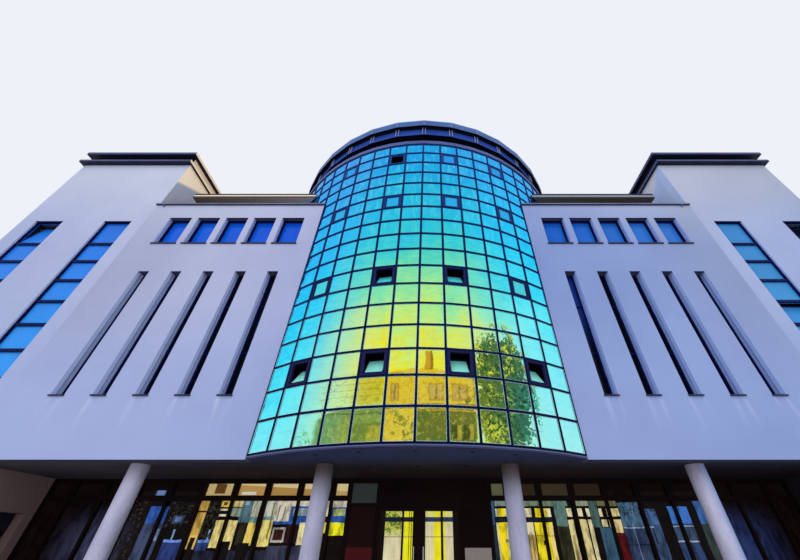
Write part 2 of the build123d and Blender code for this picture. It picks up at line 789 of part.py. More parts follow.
def door(side, name):
    glass_near, glass_far = leaf_near + door_stile, leaf_far - door_stile
    glass_low, glass_high = leaf_bottom + 2 * door_stile, leaf_top - door_stile
    with BuildPart() as leaf:
        block(side * leaf_near, side * leaf_far, leaf_y, leaf_y + door_thickness, leaf_bottom, leaf_top)
        block(side * glass_near, side * glass_far, leaf_y, leaf_y + door_thickness, glass_low, glass_high,
              mode=Mode.SUBTRACT)
        for height in hinge_heights:
            knuckle(side, height, hinge_x - hinge_plate, leaf_y)
    put(leaf, f"door_leaf_{name}")
    with BuildPart() as pane:
        block(side * glass_near, side * glass_far, door_glass_y, door_glass_y + door_glass_thickness,
              glass_low, glass_high)
    put(pane, f"door_glass_{name}")
    handle_x = side * (leaf_near + door_stile / 2)
    handle_z = ground_slab + handle_height
    with BuildPart() as handle:
        with Locations((handle_x, leaf_y - handle_standoff, handle_z)):
            Cylinder(handle_diameter / 2, handle_length)
        for reach in (stay_inset - handle_length / 2, handle_length / 2 - stay_inset):
            with Locations(Location((handle_x, leaf_y - handle_standoff / 2, handle_z + reach), (90, 0, 0))):
                Cylinder(stay_diameter / 2, handle_standoff)
    put(handle, f"door_handle_{name}")


door(-1, "left")
door(1, "right")
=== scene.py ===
"""Looks of a rendered city building with a faceted glass bow, between two corner towers. Metres."""
from math import cos, pi, radians, sin

import bpy
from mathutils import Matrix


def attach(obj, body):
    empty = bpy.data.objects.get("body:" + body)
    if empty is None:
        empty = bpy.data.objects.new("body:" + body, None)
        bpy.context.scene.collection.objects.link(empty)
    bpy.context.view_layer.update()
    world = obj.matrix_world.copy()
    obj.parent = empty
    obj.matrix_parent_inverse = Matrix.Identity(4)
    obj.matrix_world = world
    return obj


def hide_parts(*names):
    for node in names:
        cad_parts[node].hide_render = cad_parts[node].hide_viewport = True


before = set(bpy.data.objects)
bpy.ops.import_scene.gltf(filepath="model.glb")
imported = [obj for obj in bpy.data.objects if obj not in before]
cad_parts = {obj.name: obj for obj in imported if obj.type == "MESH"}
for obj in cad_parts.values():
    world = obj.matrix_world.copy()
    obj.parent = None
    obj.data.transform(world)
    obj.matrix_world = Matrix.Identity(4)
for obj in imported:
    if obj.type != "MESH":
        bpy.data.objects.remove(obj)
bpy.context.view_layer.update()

# Sizes of the building, as in the part's source
BOW_RADIUS = 8.602            # drum axis to the glass line, at a mullion
PANES_ROUND = 64
BOW_HALF_PANES = 6
ATTIC_LINE = 9                # mullion line where the attic meets the drum
ROW = 0.822                   # one row of panes
ROWS = 17
FIRST_DRUM_ROW = 13
FIRST_FLOOR = 3.816
CAP = 0.062                   # width of the caps over the glass
FOOT_DROP = 0.043             # the lowest transom lies this far below its grid line
GLASS_BOTTOM = 3.661
BASE_RIM = 3.635              # foot of the base band's pale upper edge
GLASS_SHEET = 0.024
WALL_TOP = 14.700
GLASS_TOP = FIRST_FLOOR + ROWS * ROW
PANE_ANGLE = 2 * pi / PANES_ROUND
PANE_CHORD = 2 * BOW_RADIUS * sin(PANE_ANGLE / 2)
STREET = -7.1523
TOWER_FRONT = STREET + 0.06
REAR = 10.448
SOFFIT = 3.590
TOWER_EDGE = 12.940
HALF_WIDTH = 18.800
ROOM_EDGE = HALF_WIDTH - 0.4     # inner face of the party walls
CORNICE_GROOVE = (18.390, 18.940)
EAVE_FOOT, EAVE_FACE, EAVE_LIT, EAVE_TOP = 16.355, 16.410, 16.500, 16.575
SLOT_STEP = 1.320
SLOTS = [6.067 + SLOT_STEP * number for number in range(5)]
SLOT_WIDTH, SLOT_BOTTOM, SLOT_TOP, SLOT_GLASS = 0.432, 5.416, 10.511, 0.350
WINDOW_WIDTH, WINDOW_BOTTOM, WINDOW_TOP, WINDOW_GLASS = 1.030, 12.120, 13.800, 0.300
STRIPS = (14.270, 17.470)
STRIP_WIDTH, STRIP_BOTTOM, STRIP_TOP = 1.272, 4.960, 13.641
REAR_CENTRES = [2.64 * (number + 0.5) for number in range(4)]
REAR_SILLS = [level + 1.0 for level in (0.12, 3.816, 7.104, 11.214)]
WINDOW_ROWS = (2, 6, 11, 15)
WINDOW_LINES = (-5, -2, 1, 4)
RING_FACETS = 36
PARAPET_TOP = GLASS_TOP + 0.270
LOUVRE_HEIGHT = 0.960
BAND_BOTTOM = PARAPET_TOP + LOUVRE_HEIGHT
CROWN = BAND_BOTTOM + 0.690
FASCIA_TOP = CROWN + 0.540
FASCIA_RADIUS = BOW_RADIUS + 0.038
LOUVRE_RADIUS = BOW_RADIUS - 0.452


def linear(code):
    """An sRGB hex colour as a linear RGBA one."""
    channels = [int(code[place:place + 2], 16) / 255 for place in (1, 3, 5)]
    return [c / 12.92 if c <= 0.04045 else ((c + 0.055) / 1.055) ** 2.4 for c in channels] + [1]


def add(tree, kind, links=None, **settings):
    """Adds a node. links maps an input's name or number to a value, a socket or a node."""
    node = tree.nodes.new(kind)
    for name, value in settings.items():
        if name == "stops":
            elements = node.color_ramp.elements
            elements.remove(elements[-1])
            elements[0].position, elements[0].color = value[0][0], linear(value[0][1])
            for place, code in value[1:]:
                elements.new(place).color = linear(code)
        else:
            setattr(node, name, value)
    for key, value in (links or {}).items():
        shown = [socket for socket in node.inputs if socket.enabled]
        socket = node.inputs[key] if isinstance(key, int) else next(s for s in shown if s.name == key)
        if isinstance(value, bpy.types.Node):
            value = next(s for s in value.outputs if s.enabled)
        if isinstance(value, bpy.types.NodeSocket):
            tree.links.new(value, socket)
        elif isinstance(value, str) and value.startswith("#"):
            socket.default_value = linear(value)
        else:
            socket.default_value = value
    return node


def finish(name, **sockets):
    """A new material with its shader's own sockets set, its tree, and a point in metres."""
    material = bpy.data.materials.new(name)
    material.use_nodes = True
    tree = material.node_tree
    shader = tree.nodes["Principled BSDF"]
    for key, value in sockets.items():
        shader.inputs[key.replace("_", " ")].default_value = value
    point = add(tree, "ShaderNodeTexCoord").outputs["Object"]
    return material, tree, shader, point


def facing(tree):
    """The three parts of the surface's own direction."""
    normal = add(tree, "ShaderNodeNewGeometry").outputs["Normal"]
    return add(tree, "ShaderNodeSeparateXYZ", {0: normal}).outputs


def between(tree, value, low, high, smooth=True):
    """0 to 1 while a value goes from low to high."""
    return add(tree, "ShaderNodeMapRange", {"Value": value, "From Min": low, "From Max": high},
               clamp=not smooth, interpolation_type="SMOOTHSTEP" if smooth else "LINEAR").outputs["Result"]


def spread(tree, value, low, high, least, most):
    """Goes from least to most while a value goes from low to high."""
    return add(tree, "ShaderNodeMapRange", {"Value": value, "From Min": low, "From Max": high,
               "To Min": least, "To Max": most}).outputs["Result"]


def product(tree, first, *others):
    """Masks or numbers multiplied, so that masks keep what they share."""
    for other in others:
        first = add(tree, "ShaderNodeMath", {0: first, 1: other}, operation="MULTIPLY").outputs[0]
    return first


def total(tree, first, *others):
    """Numbers added up."""
    for other in others:
        first = add(tree, "ShaderNodeMath", {0: first, 1: other}, operation="ADD").outputs[0]
    return first


def within(tree, value, low, high, soft=0.01):
    """1 where a value lies between two bounds, fading out over a soft edge."""
    rise = between(tree, value, low - soft, low + soft)
    return product(tree, rise, between(tree, value, high + soft, high - soft))


def block(tree, first, second, low, high, foot, head):
    """1 where two values lie in a rectangle with sharp edges, else 0."""
    spans = [add(tree, "ShaderNodeMath", {0: value, 1: (start + end) / 2, 2: (end - start) / 2},
                 operation="COMPARE").outputs[0]
             for value, start, end in ((first, low, high), (second, foot, head))]
    return product(tree, *spans)


def ramp(tree, value, *stops):
    """Colours at given values, blended in between."""
    low, high = stops[0][0], stops[-1][0]
    return add(tree, "ShaderNodeValToRGB", {0: between(tree, value, low, high, False)},
               stops=[((place - low) / (high - low), code) for place, code in stops]).outputs[0]


def lay(tree, base, *coats):
    """base with coats laid on it in turn: each an amount, a colour and, unless it covers, a way to blend."""
    for amount, over, *way in coats:
        base = add(tree, "ShaderNodeMix", {"Factor": amount, "A": base, "B": over}, data_type="RGBA",
                   blend_type=way[0] if way else "MIX").outputs[2]
    return base


def cloud(tree, point, patch, stretch=(1, 1, 1), detail=4, distortion=0.0):
    """Soft patches of a size in metres; stretch lengthens them."""
    sized = add(tree, "ShaderNodeMapping", {"Vector": point, "Scale": [1 / (patch * s) for s in stretch]})
    return add(tree, "ShaderNodeTexNoise", {"Vector": sized, "Scale": 1.0, "Detail": detail, "Roughness": 0.6,
               "Distortion": distortion}).outputs[0]


def mottle(tree, point, codes, patch, stretch=(1, 1, 1), detail=4):
    """Colours that drift into each other in patches of a size in metres."""
    places = [0.32 + 0.36 * number / (len(codes) - 1) for number in range(len(codes))]
    patches = cloud(tree, point, patch, stretch, detail)
    return add(tree, "ShaderNodeValToRGB", {0: patches}, stops=list(zip(places, codes))).outputs[0]


def relief(tree, shader, point, grain, depth, strength=0.5):
    """A fine bump of a grain size and depth in metres."""
    noise = add(tree, "ShaderNodeTexNoise", {"Vector": point, "Scale": 1 / grain, "Detail": 3})
    bump = add(tree, "ShaderNodeBump", {"Height": noise.outputs[0], "Distance": depth, "Strength": strength})
    tree.links.new(bump.outputs[0], shader.inputs["Normal"])


def colour_with(tree, shader, colour):
    tree.links.new(colour, shader.inputs["Base Color"])


def court_tones(tree, x, y, z):
    """The towers' inner sides, in painted sun and shade: cream where the sun reaches them over the roof,
    blue-grey in the shade on the other side, paler lilac-grey there above a slanting line, and lilac-brown
    painted shade in the loggia, darkest on the right. Also gives the part in the sun."""
    sun_line = total(tree, z, product(tree, y, -0.65))
    sunny = product(tree, between(tree, sun_line, 21.2, 21.5), between(tree, x, -2, -4))
    left = lay(tree, "#c4c7d6", (sunny, "#fff2cf"))
    right = lay(tree, "#bed2f8", (between(tree, total(tree, y, z), 11.2, 11.4), "#dcdcea"))
    over_roof = lay(tree, left, (between(tree, x, -2, 2), right))
    loggia = lay(tree, "#a4867e", (between(tree, x, -2, 2), "#3a2e34"))
    return lay(tree, loggia, (between(tree, z, 4.0, 4.4), over_roof)), sunny


def in_the_sun(tree, shader, part):
    """Lifts the part that stands in the sun above the studio's even light."""
    tree.links.new(lay(tree, "#000000", (part, "#ffd4a8")), shader.inputs["Emission Color"])


# Mineral render, floated and painted white: matt, faintly clouded. The white carries painted shade, the lilac
# of the street's open shade, bluer to the right and towards the foot; below each sill runs a pale trail of
# rain.
def floated_render():
    material, tree, shader, point = finish("mineral_render_white", Roughness=0.9, Specular_IOR_Level=0.15,
                                           Emission_Strength=0.26)
    x, y, z = add(tree, "ShaderNodeSeparateXYZ", {0: point}).outputs
    nx, ny, nz = facing(tree)
    off = add(tree, "ShaderNodeMath", {0: x}, operation="ABSOLUTE")
    sideways = between(tree, add(tree, "ShaderNodeMath", {0: nx}, operation="ABSOLUTE"), 0.4, 0.6)
    top = ramp(tree, x, (-HALF_WIDTH, "#c6ccde"), (-13, "#d0d4e4"), (-5, "#c4c6dc"), (5, "#a8b4d8"),
               (13, "#c2c6d6"), (HALF_WIDTH, "#b4bacb"))
    middle = ramp(tree, x, (-HALF_WIDTH, "#adb6d8"), (-TOWER_EDGE - 0.01, "#bac0dc"),
                  (-TOWER_EDGE + 0.01, "#abafca"), (-9, "#bcc0da"), (-5, "#b6badb"), (5, "#8c9fd0"),
                  (9, "#94a6d4"), (TOWER_EDGE - 0.01, "#96a4c6"), (TOWER_EDGE + 0.01, "#b0bcdc"),
                  (HALF_WIDTH, "#a2b2dc"))
    lower = ramp(tree, x, (-HALF_WIDTH, "#abb8de"), (-9, "#adb8e0"), (9, "#9aabd8"), (HALF_WIDTH, "#96a8d2"))
    base = lay(tree, lower, (between(tree, z, 4.5, 10.5), middle), (between(tree, z, 11.5, 17.5), top))
    clouded = lay(tree, base, (0.4, mottle(tree, point, ("#e2e2ea", "#ffffff"), 2.6), "MULTIPLY"))
    # A slot's middle repeats with each step; the trails hang from both ends of its sill
    steps = product(tree, total(tree, off, SLOT_STEP / 2 - SLOTS[0]), 1 / SLOT_STEP)
    cycle = add(tree, "ShaderNodeMath", {0: steps}, operation="FRACT")
    from_middle = add(tree, "ShaderNodeMath", {0: total(tree, cycle, -0.5)}, operation="ABSOLUTE")
    trails = product(tree, within(tree, from_middle, 0.09, 0.19, 0.06),
                     between(tree, cloud(tree, point, 0.3, (1, 1, 6), 4), 0.36, 0.64),
                     between(tree, z, 4.2, 5.4), between(tree, z, 5.42, 5.38),
                     within(tree, off, SLOTS[0] - 0.5, SLOTS[4] + 0.5), 0.6)
    trail_tone = lay(tree, "#d2d6ec", (between(tree, x, -2, 2), "#bcc6ee"))
    # Painted light: the floated reveals are paler, as they catch more sky than the face
    reveal = product(tree, between(tree, y, STREET + 0.004, STREET + 0.02), sideways)
    reveal_tone = lay(tree, "#c9d6f6", (between(tree, x, -2, 2), "#a9c0f6"))
    # Painted shade: behind the glass nothing is lit
    behind_strips = product(tree, between(tree, y, STREET + 0.20, STREET + 0.22),
                            within(tree, off, TOWER_EDGE + 0.03, ROOM_EDGE))
    behind_slots = between(tree, y, STREET + 0.36, STREET + 0.37)
    behind = add(tree, "ShaderNodeMath", {0: behind_slots, 1: behind_strips}, operation="MAXIMUM")
    inside = product(tree, behind, within(tree, y, STREET, STREET + 1.0),
                     between(tree, off, ROOM_EDGE + 0.1, ROOM_EDGE))
    # The towers' corners go on from their inner walls, with their painted sun and shade
    corner = product(tree, within(tree, off, TOWER_EDGE - 0.03, TOWER_EDGE + 0.03), sideways)
    side_tone, sunny = court_tones(tree, x, y, z)
    in_the_sun(tree, shader, product(tree, corner, sunny))
    # Painted shade: the lintels' undersides see no sky
    colour_with(tree, shader, lay(tree, clouded,
                                  (trails, trail_tone),
                                  (reveal, reveal_tone),
                                  (inside, "#1c1c24"),
                                  (corner, side_tone),
                                  (between(tree, nz, -0.4, -0.6), "#4e4c58")))
    # Sand grain of 1.5 mm, drawn at 8 mm so that it shows
    relief(tree, shader, point, 0.008, 0.002, 0.35)
    return material


# The towers' inner walls: the same render, with the painted sun and shade of their sides
def court_render():
    material, tree, shader, point = finish("mineral_render_court", Roughness=0.9, Specular_IOR_Level=0.15,
                                           Emission_Strength=0.26)
    base, sunny = court_tones(tree, *add(tree, "ShaderNodeSeparateXYZ", {0: point}).outputs)
    colour_with(tree, shader,
                lay(tree, base, (0.4, mottle(tree, point, ("#dcdce4", "#ffffff"), 1.8), "MULTIPLY")))
    in_the_sun(tree, shader, sunny)
    relief(tree, shader, point, 0.008, 0.002, 0.35)
    return material


# Coil-coated, powder-coated and anodised metal: smooth, half-matt, slightly faded in patches; undersides,
# which see no sky, may take a darker tone as painted shade, and a top edge a paler one as a painted highlight
def coated_metal(name, codes, under=None, edge=None, patch=1.6, roughness=0.45, metallic=0.0, specular=0.3):
    material, tree, shader, point = finish(name, Roughness=roughness, Metallic=metallic,
                                           Specular_IOR_Level=specular)
    colour = mottle(tree, point, codes, patch)
    if edge:
        level, code = edge
        x, y, z = add(tree, "ShaderNodeSeparateXYZ", {0: point}).outputs
        colour = lay(tree, colour, (between(tree, z, level - 0.004, level + 0.004), code))
    if under:
        colour = lay(tree, colour, (between(tree, facing(tree)[2], -0.4, -0.6), under))
    colour_with(tree, shader, colour)
    relief(tree, shader, point, 0.006, 0.0004, 0.25)
    return material


frame_navy = coated_metal("powder_coated_blue_black", ("#050c40", "#0a144e"), specular=0.06)
rail_grey = coated_metal("anodised_rail_blue_grey", ("#7484b6", "#8492c4"))
gutter_steel = coated_metal("coil_coated_steel_violet_grey", ("#5c5f84", "#73779a"), "#12142e")
ring_sheet = coated_metal("folded_aluminium_navy", ("#4a5488", "#5a689c"), "#0a0a14", specular=0.06)
fascia_sheet = coated_metal("folded_aluminium_blue_grey", ("#3f5f9c", "#4a6ba8"), "#07060c",
                            (FASCIA_TOP - 0.06, "#8ea8d0"), specular=0.08)
post_sheet = coated_metal("brushed_aluminium_post", ("#6c7aa8", "#8490b8"))
band_blue = coated_metal("coated_panel_blue", ("#2748a0", "#3052aa"), "#0a0c1c", specular=0.08)
# Partly the louvre's own dark coat and partly painted shade of the deep gap under the drum's band
louvre_dark_and_shaded = coated_metal("coated_louvre_dark_and_shaded", ("#08080e", "#101018"), specular=0.04)
# Painted shade: the board's underside under the drum's roof is near black
drum_felt = coated_metal("bitumen_felt_over_board_in_painted_shade", ("#4a4b50", "#56575c"), "#110e14", roughness=0.8,
                         specular=0.1)
drip_navy = coated_metal("folded_drip_navy", ("#12163a", "#1a2048"), specular=0.15)
sill_zinc = coated_metal("folded_zinc_navy", ("#1a2040", "#262c50"), "#0c0e20")
bronze_frame = coated_metal("bronze_anodised_aluminium", ("#1a0f0e", "#241614"), specular=0.04)
steel = coated_metal("brushed_stainless_steel", ("#b4b6bb", "#c8cad0"), patch=0.2, roughness=0.28,
                     metallic=1.0)
base_band = coated_metal("coated_sheet_blue_grey", ("#343858", "#41476a"), "#12121c", (BASE_RIM, "#656a92"),
                         specular=0.05)
lamp_black = coated_metal("recessed_lamp_black", ("#050507", "#0c0c10"), specular=0.1)


# Caps, sashes and glazing beads of the curtain wall: powder coat, nearly black at the foot and bluer towards
# the open sky as a painted sky reflection; the beads carry a painted highlight, the mirrored street's light,
# at the foot
def caps_coat(name, *tones):
    material, tree, shader, point = finish(name, Roughness=0.45, Specular_IOR_Level=0.04)
    navy = ramp(tree, add(tree, "ShaderNodeSeparateXYZ", {0: point}).outputs[2], *tones)
    colour_with(tree, shader,
                lay(tree, navy, (0.3, mottle(tree, point, ("#b8b8b8", "#ffffff"), 1.6), "MULTIPLY")))
    relief(tree, shader, point, 0.006, 0.0004, 0.25)
    return material


# Folded sheet of the tower cornices: blue-grey edges over undersides darkened as painted shade, with a dark
# groove of painted shade. The left tower's return stands in the sun, cream over red-brown.
def cornice_sheet():
    material, tree, shader, point = finish("folded_sheet_slate_blue", Roughness=0.5, Specular_IOR_Level=0.2,
                                           Emission_Strength=0.26)
    x, y, z = add(tree, "ShaderNodeSeparateXYZ", {0: point}).outputs
    nx, ny, nz = facing(tree)
    # Painted shade: the groove between the cornice's sheets is dark
    face = lay(tree, mottle(tree, point, ("#343c68", "#454f7c"), 1.2),
               (within(tree, z, *CORNICE_GROOVE, 0.002), "#14142a"))
    sunlit = product(tree, between(tree, nx, 0.5, 0.7), between(tree, x, -2, -4))
    returned = lay(tree, face, (sunlit, "#e6d6b4"))
    in_the_sun(tree, shader, sunlit)
    # Painted shade: the undersides, red-brown under the left tower's sunlit return
    under = lay(tree, "#17152a", (between(tree, x, -12.85, -12.78), "#5a2c2a"),
                (between(tree, x, -1, 1), "#15162c"))
    colour_with(tree, shader, lay(tree, returned, (between(tree, nz, -0.4, -0.6), under)))
    relief(tree, shader, point, 0.006, 0.0004, 0.25)
    return material


# The attic: render under an eave, brown-grey in painted shade, with a lit upper edge, and bitumen felt on its
# roof
def attic_finish():
    material, tree, shader, point = finish("painted_render_attic", Roughness=0.85, Specular_IOR_Level=0.15,
                                           Emission_Strength=0.26)
    x, y, z = add(tree, "ShaderNodeSeparateXYZ", {0: point}).outputs
    nx, ny, nz = facing(tree)
    wall = mottle(tree, point, ("#4a4038", "#5c5046"), 1.0)
    lit_edge = product(tree, between(tree, z, EAVE_LIT, EAVE_LIT + 0.005),
                       between(tree, z, EAVE_TOP, EAVE_TOP - 0.005), between(tree, x, 3, -3))
    # Painted sun and shade on the eave: warmer and lit along its upper edge on the left, greyer on the right,
    # its top line olive on the left and navy on the right, and dark brown at its foot
    eave_top = lay(tree, "#3a3830", (between(tree, x, -3, 3), "#1c2236"))
    eave = lay(tree, "#8a7d76",
               (between(tree, x, -3, 3), "#8f95a0"),
               (lit_edge, "#e6dcc8"),
               (between(tree, z, EAVE_TOP, EAVE_TOP + 0.005), eave_top),
               (between(tree, z, EAVE_FACE + 0.01, EAVE_FACE), "#3c342e"))
    base = lay(tree, wall,
               (between(tree, z, EAVE_FOOT, EAVE_FOOT + 0.005), eave),
               (between(tree, nz, 0.4, 0.6), "#505158"))
    in_the_sun(tree, shader, lit_edge)
    # Painted shade: the eave's underside is cream paint in shade, palest left of the middle and darker
    # towards the ends
    under = ramp(tree, x, (-12.4, "#7a6a5c"), (-9, "#a89a8e"), (-5, "#e2d4d0"), (5, "#6e6a60"),
                 (12.4, "#5c564e"))
    colour_with(tree, shader, lay(tree, base, (between(tree, nz, -0.4, -0.6), under)))
    relief(tree, shader, point, 0.008, 0.002, 0.3)
    return material


# What the bow's foot mirrors of the street's other side, in columns and rows of sheets
def opposite_side(tree, point, tint_and_painted_reflection, u, v):
    def shape(low_u, high_u, low_v, high_v, soft, amount):
        """A rectangle in columns and rows, with soft edges."""
        return product(tree, within(tree, u, low_u, high_u, soft), within(tree, v, low_v, high_v, soft),
                       amount)

    def square(value, middle_value, half):
        """How far a value is from a middle, in halves, squared."""
        away = product(tree, total(tree, value, -middle_value), 1 / half)
        return product(tree, away, away)

    # A terrace behind a green bank
    terrace = product(tree, within(tree, u, -2.1, -1.0, 0.3), within(tree, v, 1.0, 2.05, 0.1), 0.75)
    scene = lay(tree, tint_and_painted_reflection, (terrace, "#ccb818"))
    for place in (1.28, 1.5, 1.72):
        scene = lay(tree, scene, (shape(-3.3, -1.1, place, place + 0.03, 0.02, 0.35), "#7a6a20"))
    bank_line = total(tree, v, product(tree, square(u, -1.7, 1.0), 0.14))
    bank = product(tree, within(tree, u, -3.25, -0.98, 0.12), between(tree, bank_line, 1.05, 0.9), 0.85)
    bank_green = lay(tree, ramp(tree, v, (0, "#8c9e34"), (0.5, "#74903c"), (1, "#5f8444")),
                     (between(tree, u, -2.2, -2.6), "#62944c"))
    scene = lay(tree, scene,
                (bank, bank_green),
                (shape(-3.1, -1.0, 0.74, 0.79, 0.02, 0.6), "#4c5a2a"),
                (shape(-2.0, -1.0, -0.4, 0.48, 0.04, 0.55), "#56702f"),
                (shape(-1.5, -1.06, -0.4, 0.4, 0.03, 0.8), "#b4b23a"))
    # A gabled house with its chimney, windows and cornices
    aside = add(tree, "ShaderNodeMath", {0: total(tree, u, -0.3)}, operation="ABSOLUTE")
    under_gable = between(tree, total(tree, v, product(tree, aside, 0.16)), 2.32, 2.27)
    scene = lay(tree, scene,
                (product(tree, within(tree, u, -1.05, 1.9, 0.03), under_gable, 0.75), "#e6b822"),
                (shape(-1.02, 1.9, 2.0, 2.06, 0.015, 0.7), "#8a5c1c"),
                (shape(0.26, 0.52, 2.2, 2.95, 0.02, 0.8), "#c88a26"),
                (shape(0.44, 0.52, 2.2, 2.95, 0.02, 0.6), "#7c5a1e"))
    for low_u, high_u in ((-0.78, -0.5), (0.36, 0.86), (1.1, 1.66)):
        centre = (low_u + high_u) / 2
        scene = lay(tree, scene,
                    (shape(low_u, high_u, 1.16, 1.76, 0.04, 0.55), "#a05c20"),
                    (shape(low_u + 0.06, high_u - 0.06, 1.22, 1.7, 0.03, 0.6), "#d8c468"),
                    (shape(centre - 0.03, centre + 0.03, 1.22, 1.7, 0.02, 0.6), "#7a4e20"))
    for low_v in (0.88, 1.02):
        scene = lay(tree, scene, (shape(-1.05, 1.9, low_v, low_v + 0.05, 0.015, 0.75), "#7c5a1e"))
    scene = lay(tree, scene, (shape(0.02, 1.95, -0.4, 0.86, 0.03, 0.88), "#52682e"))
    for low_u, high_u in ((1.12, 1.42), (1.5, 1.78)):
        scene = lay(tree, scene,
                    (shape(low_u, high_u, 0.0, 0.42, 0.02, 0.75), "#2e4420"),
                    (shape(high_u - 0.08, high_u + 0.03, 0.0, 0.42, 0.02, 0.7), "#c9b83a"))
    # Greenery, in specks of 0.1 m and tufts of 0.5 m, with the sky in its gaps; the house is uneven too
    speck = cloud(tree, point, 0.11, (1, 1, 1), 5, 0.8)
    tuft = cloud(tree, point, 0.5, (1, 1, 1), 4, 0.5)
    spray = total(tree, product(tree, speck, 0.5), product(tree, tuft, 0.5))
    uneven = product(tree, within(tree, u, -3.2, 1.95, 0.1), between(tree, v, 2.25, 2.05))
    ragged_rim = total(tree, square(u, 3.0, 1.2), square(v, 1.75, 2.5),
                       spread(tree, tuft, 0, 1, 1.1, -1.1), spread(tree, speck, 0, 1, 1.0, -1.0))
    green_mass = between(tree, ragged_rim, 0.92, 0.84)
    upper_part = between(tree, v, 1.6, 2.4)
    green = lay(tree, ramp(tree, u, (1.9, "#587018"), (3.0, "#2f5e1e"), (3.5, "#0e563a"), (4.2, "#18684e")),
                (upper_part, "#2f5e1c"))
    gap = lay(tree, ramp(tree, u, (1.9, "#e2dc34"), (3.0, "#c8de48"), (3.5, "#4cb07c"), (4.2, "#6ed2ac")),
              (upper_part, "#e6ee48"))
    scene = lay(tree, scene,
                (product(tree, uneven, spread(tree, speck, 0.48, 0.36, 0.0, 0.35)), "#6e6420"),
                (product(tree, uneven, spread(tree, speck, 0.54, 0.68, 0.0, 0.35)), "#eef05a"),
                (product(tree, green_mass, 0.92), green),
                (product(tree, green_mass, spread(tree, spray, 0.52, 0.6, 0.0, 1.0)), gap),
                (product(tree, green_mass, spread(tree, speck, 0.47, 0.38, 0.0, 0.75)), "#12341c"))
    for mask, tone in ((shape(-0.75, 1.0, -0.4, 1.05, 0.15, 0.75), "#587a2c"),
                       (shape(1.45, 2.1, 1.0, 1.6, 0.15, 0.8), "#54702a"),
                       (shape(-3.95, -3.1, -0.4, 0.35, 0.15, 0.8), "#58b83c")):
        scene = lay(tree, scene, (product(tree, mask, spread(tree, spray, 0.5, 0.44, 0.0, 1.0)), tone))
    return scene


# Sputter-coated solar-control glass: a mirror whose colour carries a painted reflection, running from gold at
# the foot of the bow through green and turquoise to azure at the top and the sides. Each sheet has its own
# slight cast of it, and the foot carries a painted reflection of the other side of the street as plain
# shapes: a gabled house between two green masses.
def mirror_glass():
    material, tree, shader, point = finish("coated_mirror_glass", Roughness=0.05, Metallic=1.0,
                                           Specular_Tint=linear("#b4e2ff"))
    x, y, z = add(tree, "ShaderNodeSeparateXYZ", {0: point}).outputs
    turn = add(tree, "ShaderNodeMath", {0: x, 1: product(tree, y, -1.0)}, operation="ARCTAN2")
    column = product(tree, turn, 1 / PANE_ANGLE)
    row = product(tree, total(tree, z, -FIRST_FLOOR), 1 / ROW)
    counts = [add(tree, "ShaderNodeMath", {0: count}, operation="FLOOR") for count in (column, row)]
    cell = add(tree, "ShaderNodeCombineXYZ", {0: counts[0], 1: counts[1]})
    chance = add(tree, "ShaderNodeTexWhiteNoise", {"Vector": cell}, noise_dimensions="2D")
    own, second, third = add(tree, "ShaderNodeSeparateXYZ", {0: chance.outputs["Color"]}).outputs
    reach = add(tree, "ShaderNodeMath", {0: column}, operation="ABSOLUTE")

    # Painted reflection: every sheet is set a little differently, and within it the reflection drifts
    level = total(tree, row, spread(tree, own, 0, 1, -0.5, 0.5),
                  spread(tree, cloud(tree, point, 1.1, (1, 1, 1.6), 5, 0.6), 0.3, 0.7, -0.9, 0.9))
    middle = ramp(tree, level, (-1, "#dcff7a"), (0.5, "#e4fb58"), (1.5, "#f6f824"), (2.5, "#fbf412"),
                  (3.5, "#e9f84e"), (4.5, "#bcfa8a"), (5.5, "#94f2a2"), (6.5, "#7aeab0"), (7.5, "#58e2c2"),
                  (8.5, "#3edad8"), (10, "#2ccce6"), (12, "#2cc4e4"), (13.5, "#28bae8"), (15, "#26aeec"),
                  (17, "#2aacea"))
    edge_level = total(tree, level, product(tree, between(tree, column, -5, 5), -3.5))
    edge = ramp(tree, edge_level, (-4, "#b0fff4"), (0, "#84fcff"), (1.5, "#66f8ff"), (3, "#44eaff"),
                (5, "#30dcff"), (8, "#34ccff"), (12, "#42b8f8"), (17, "#5aa8ee"))
    tint_and_painted_reflection = lay(tree, middle, (between(tree, reach, 1.0, 4.9), edge))
    # Painted reflection: wisps, upright above and drawn out sideways below, and warm gold patches low in the
    # middle
    upright = cloud(tree, point, 0.16, (1, 1, 4), 4, 0.8)
    level_wisp = cloud(tree, point, 0.14, (3.2, 3.2, 1), 4, 0.8)
    wisps = lay(tree, level_wisp, (between(tree, row, 7, 11), upright))
    tint_and_painted_reflection = lay(tree, tint_and_painted_reflection, (spread(tree, wisps, 0.5, 0.7, 0.0, 0.6), lay(tree, tint_and_painted_reflection, (0.5, "#8cfff4"))))
    tint_and_painted_reflection = lay(tree, tint_and_painted_reflection, (spread(tree, wisps, 0.5, 0.3, 0.0, 0.5), lay(tree, tint_and_painted_reflection, (0.35, "#1894f0"))))
    warm = product(tree, spread(tree, upright, 0.52, 0.7, 0.0, 0.5), within(tree, row, 2, 4.2, 0.8),
                   between(tree, reach, 3, 1))
    tint_and_painted_reflection = lay(tree, tint_and_painted_reflection, (warm, "#ffd028"))

    # The street's other side is bent a little from sheet to sheet
    u = total(tree, column, spread(tree, second, 0, 1, -0.06, 0.06),
              spread(tree, cloud(tree, point, 0.3, (1, 1, 1), 2), 0.0, 1.0, -0.08, 0.08))
    ripple = spread(tree, cloud(tree, point, 0.45), 0.0, 1.0, -0.13, 0.13)
    v = total(tree, row, spread(tree, third, 0, 1, -0.05, 0.05), ripple)

    colour_with(tree, shader, opposite_side(tree, point, tint_and_painted_reflection, u, v))
    return material


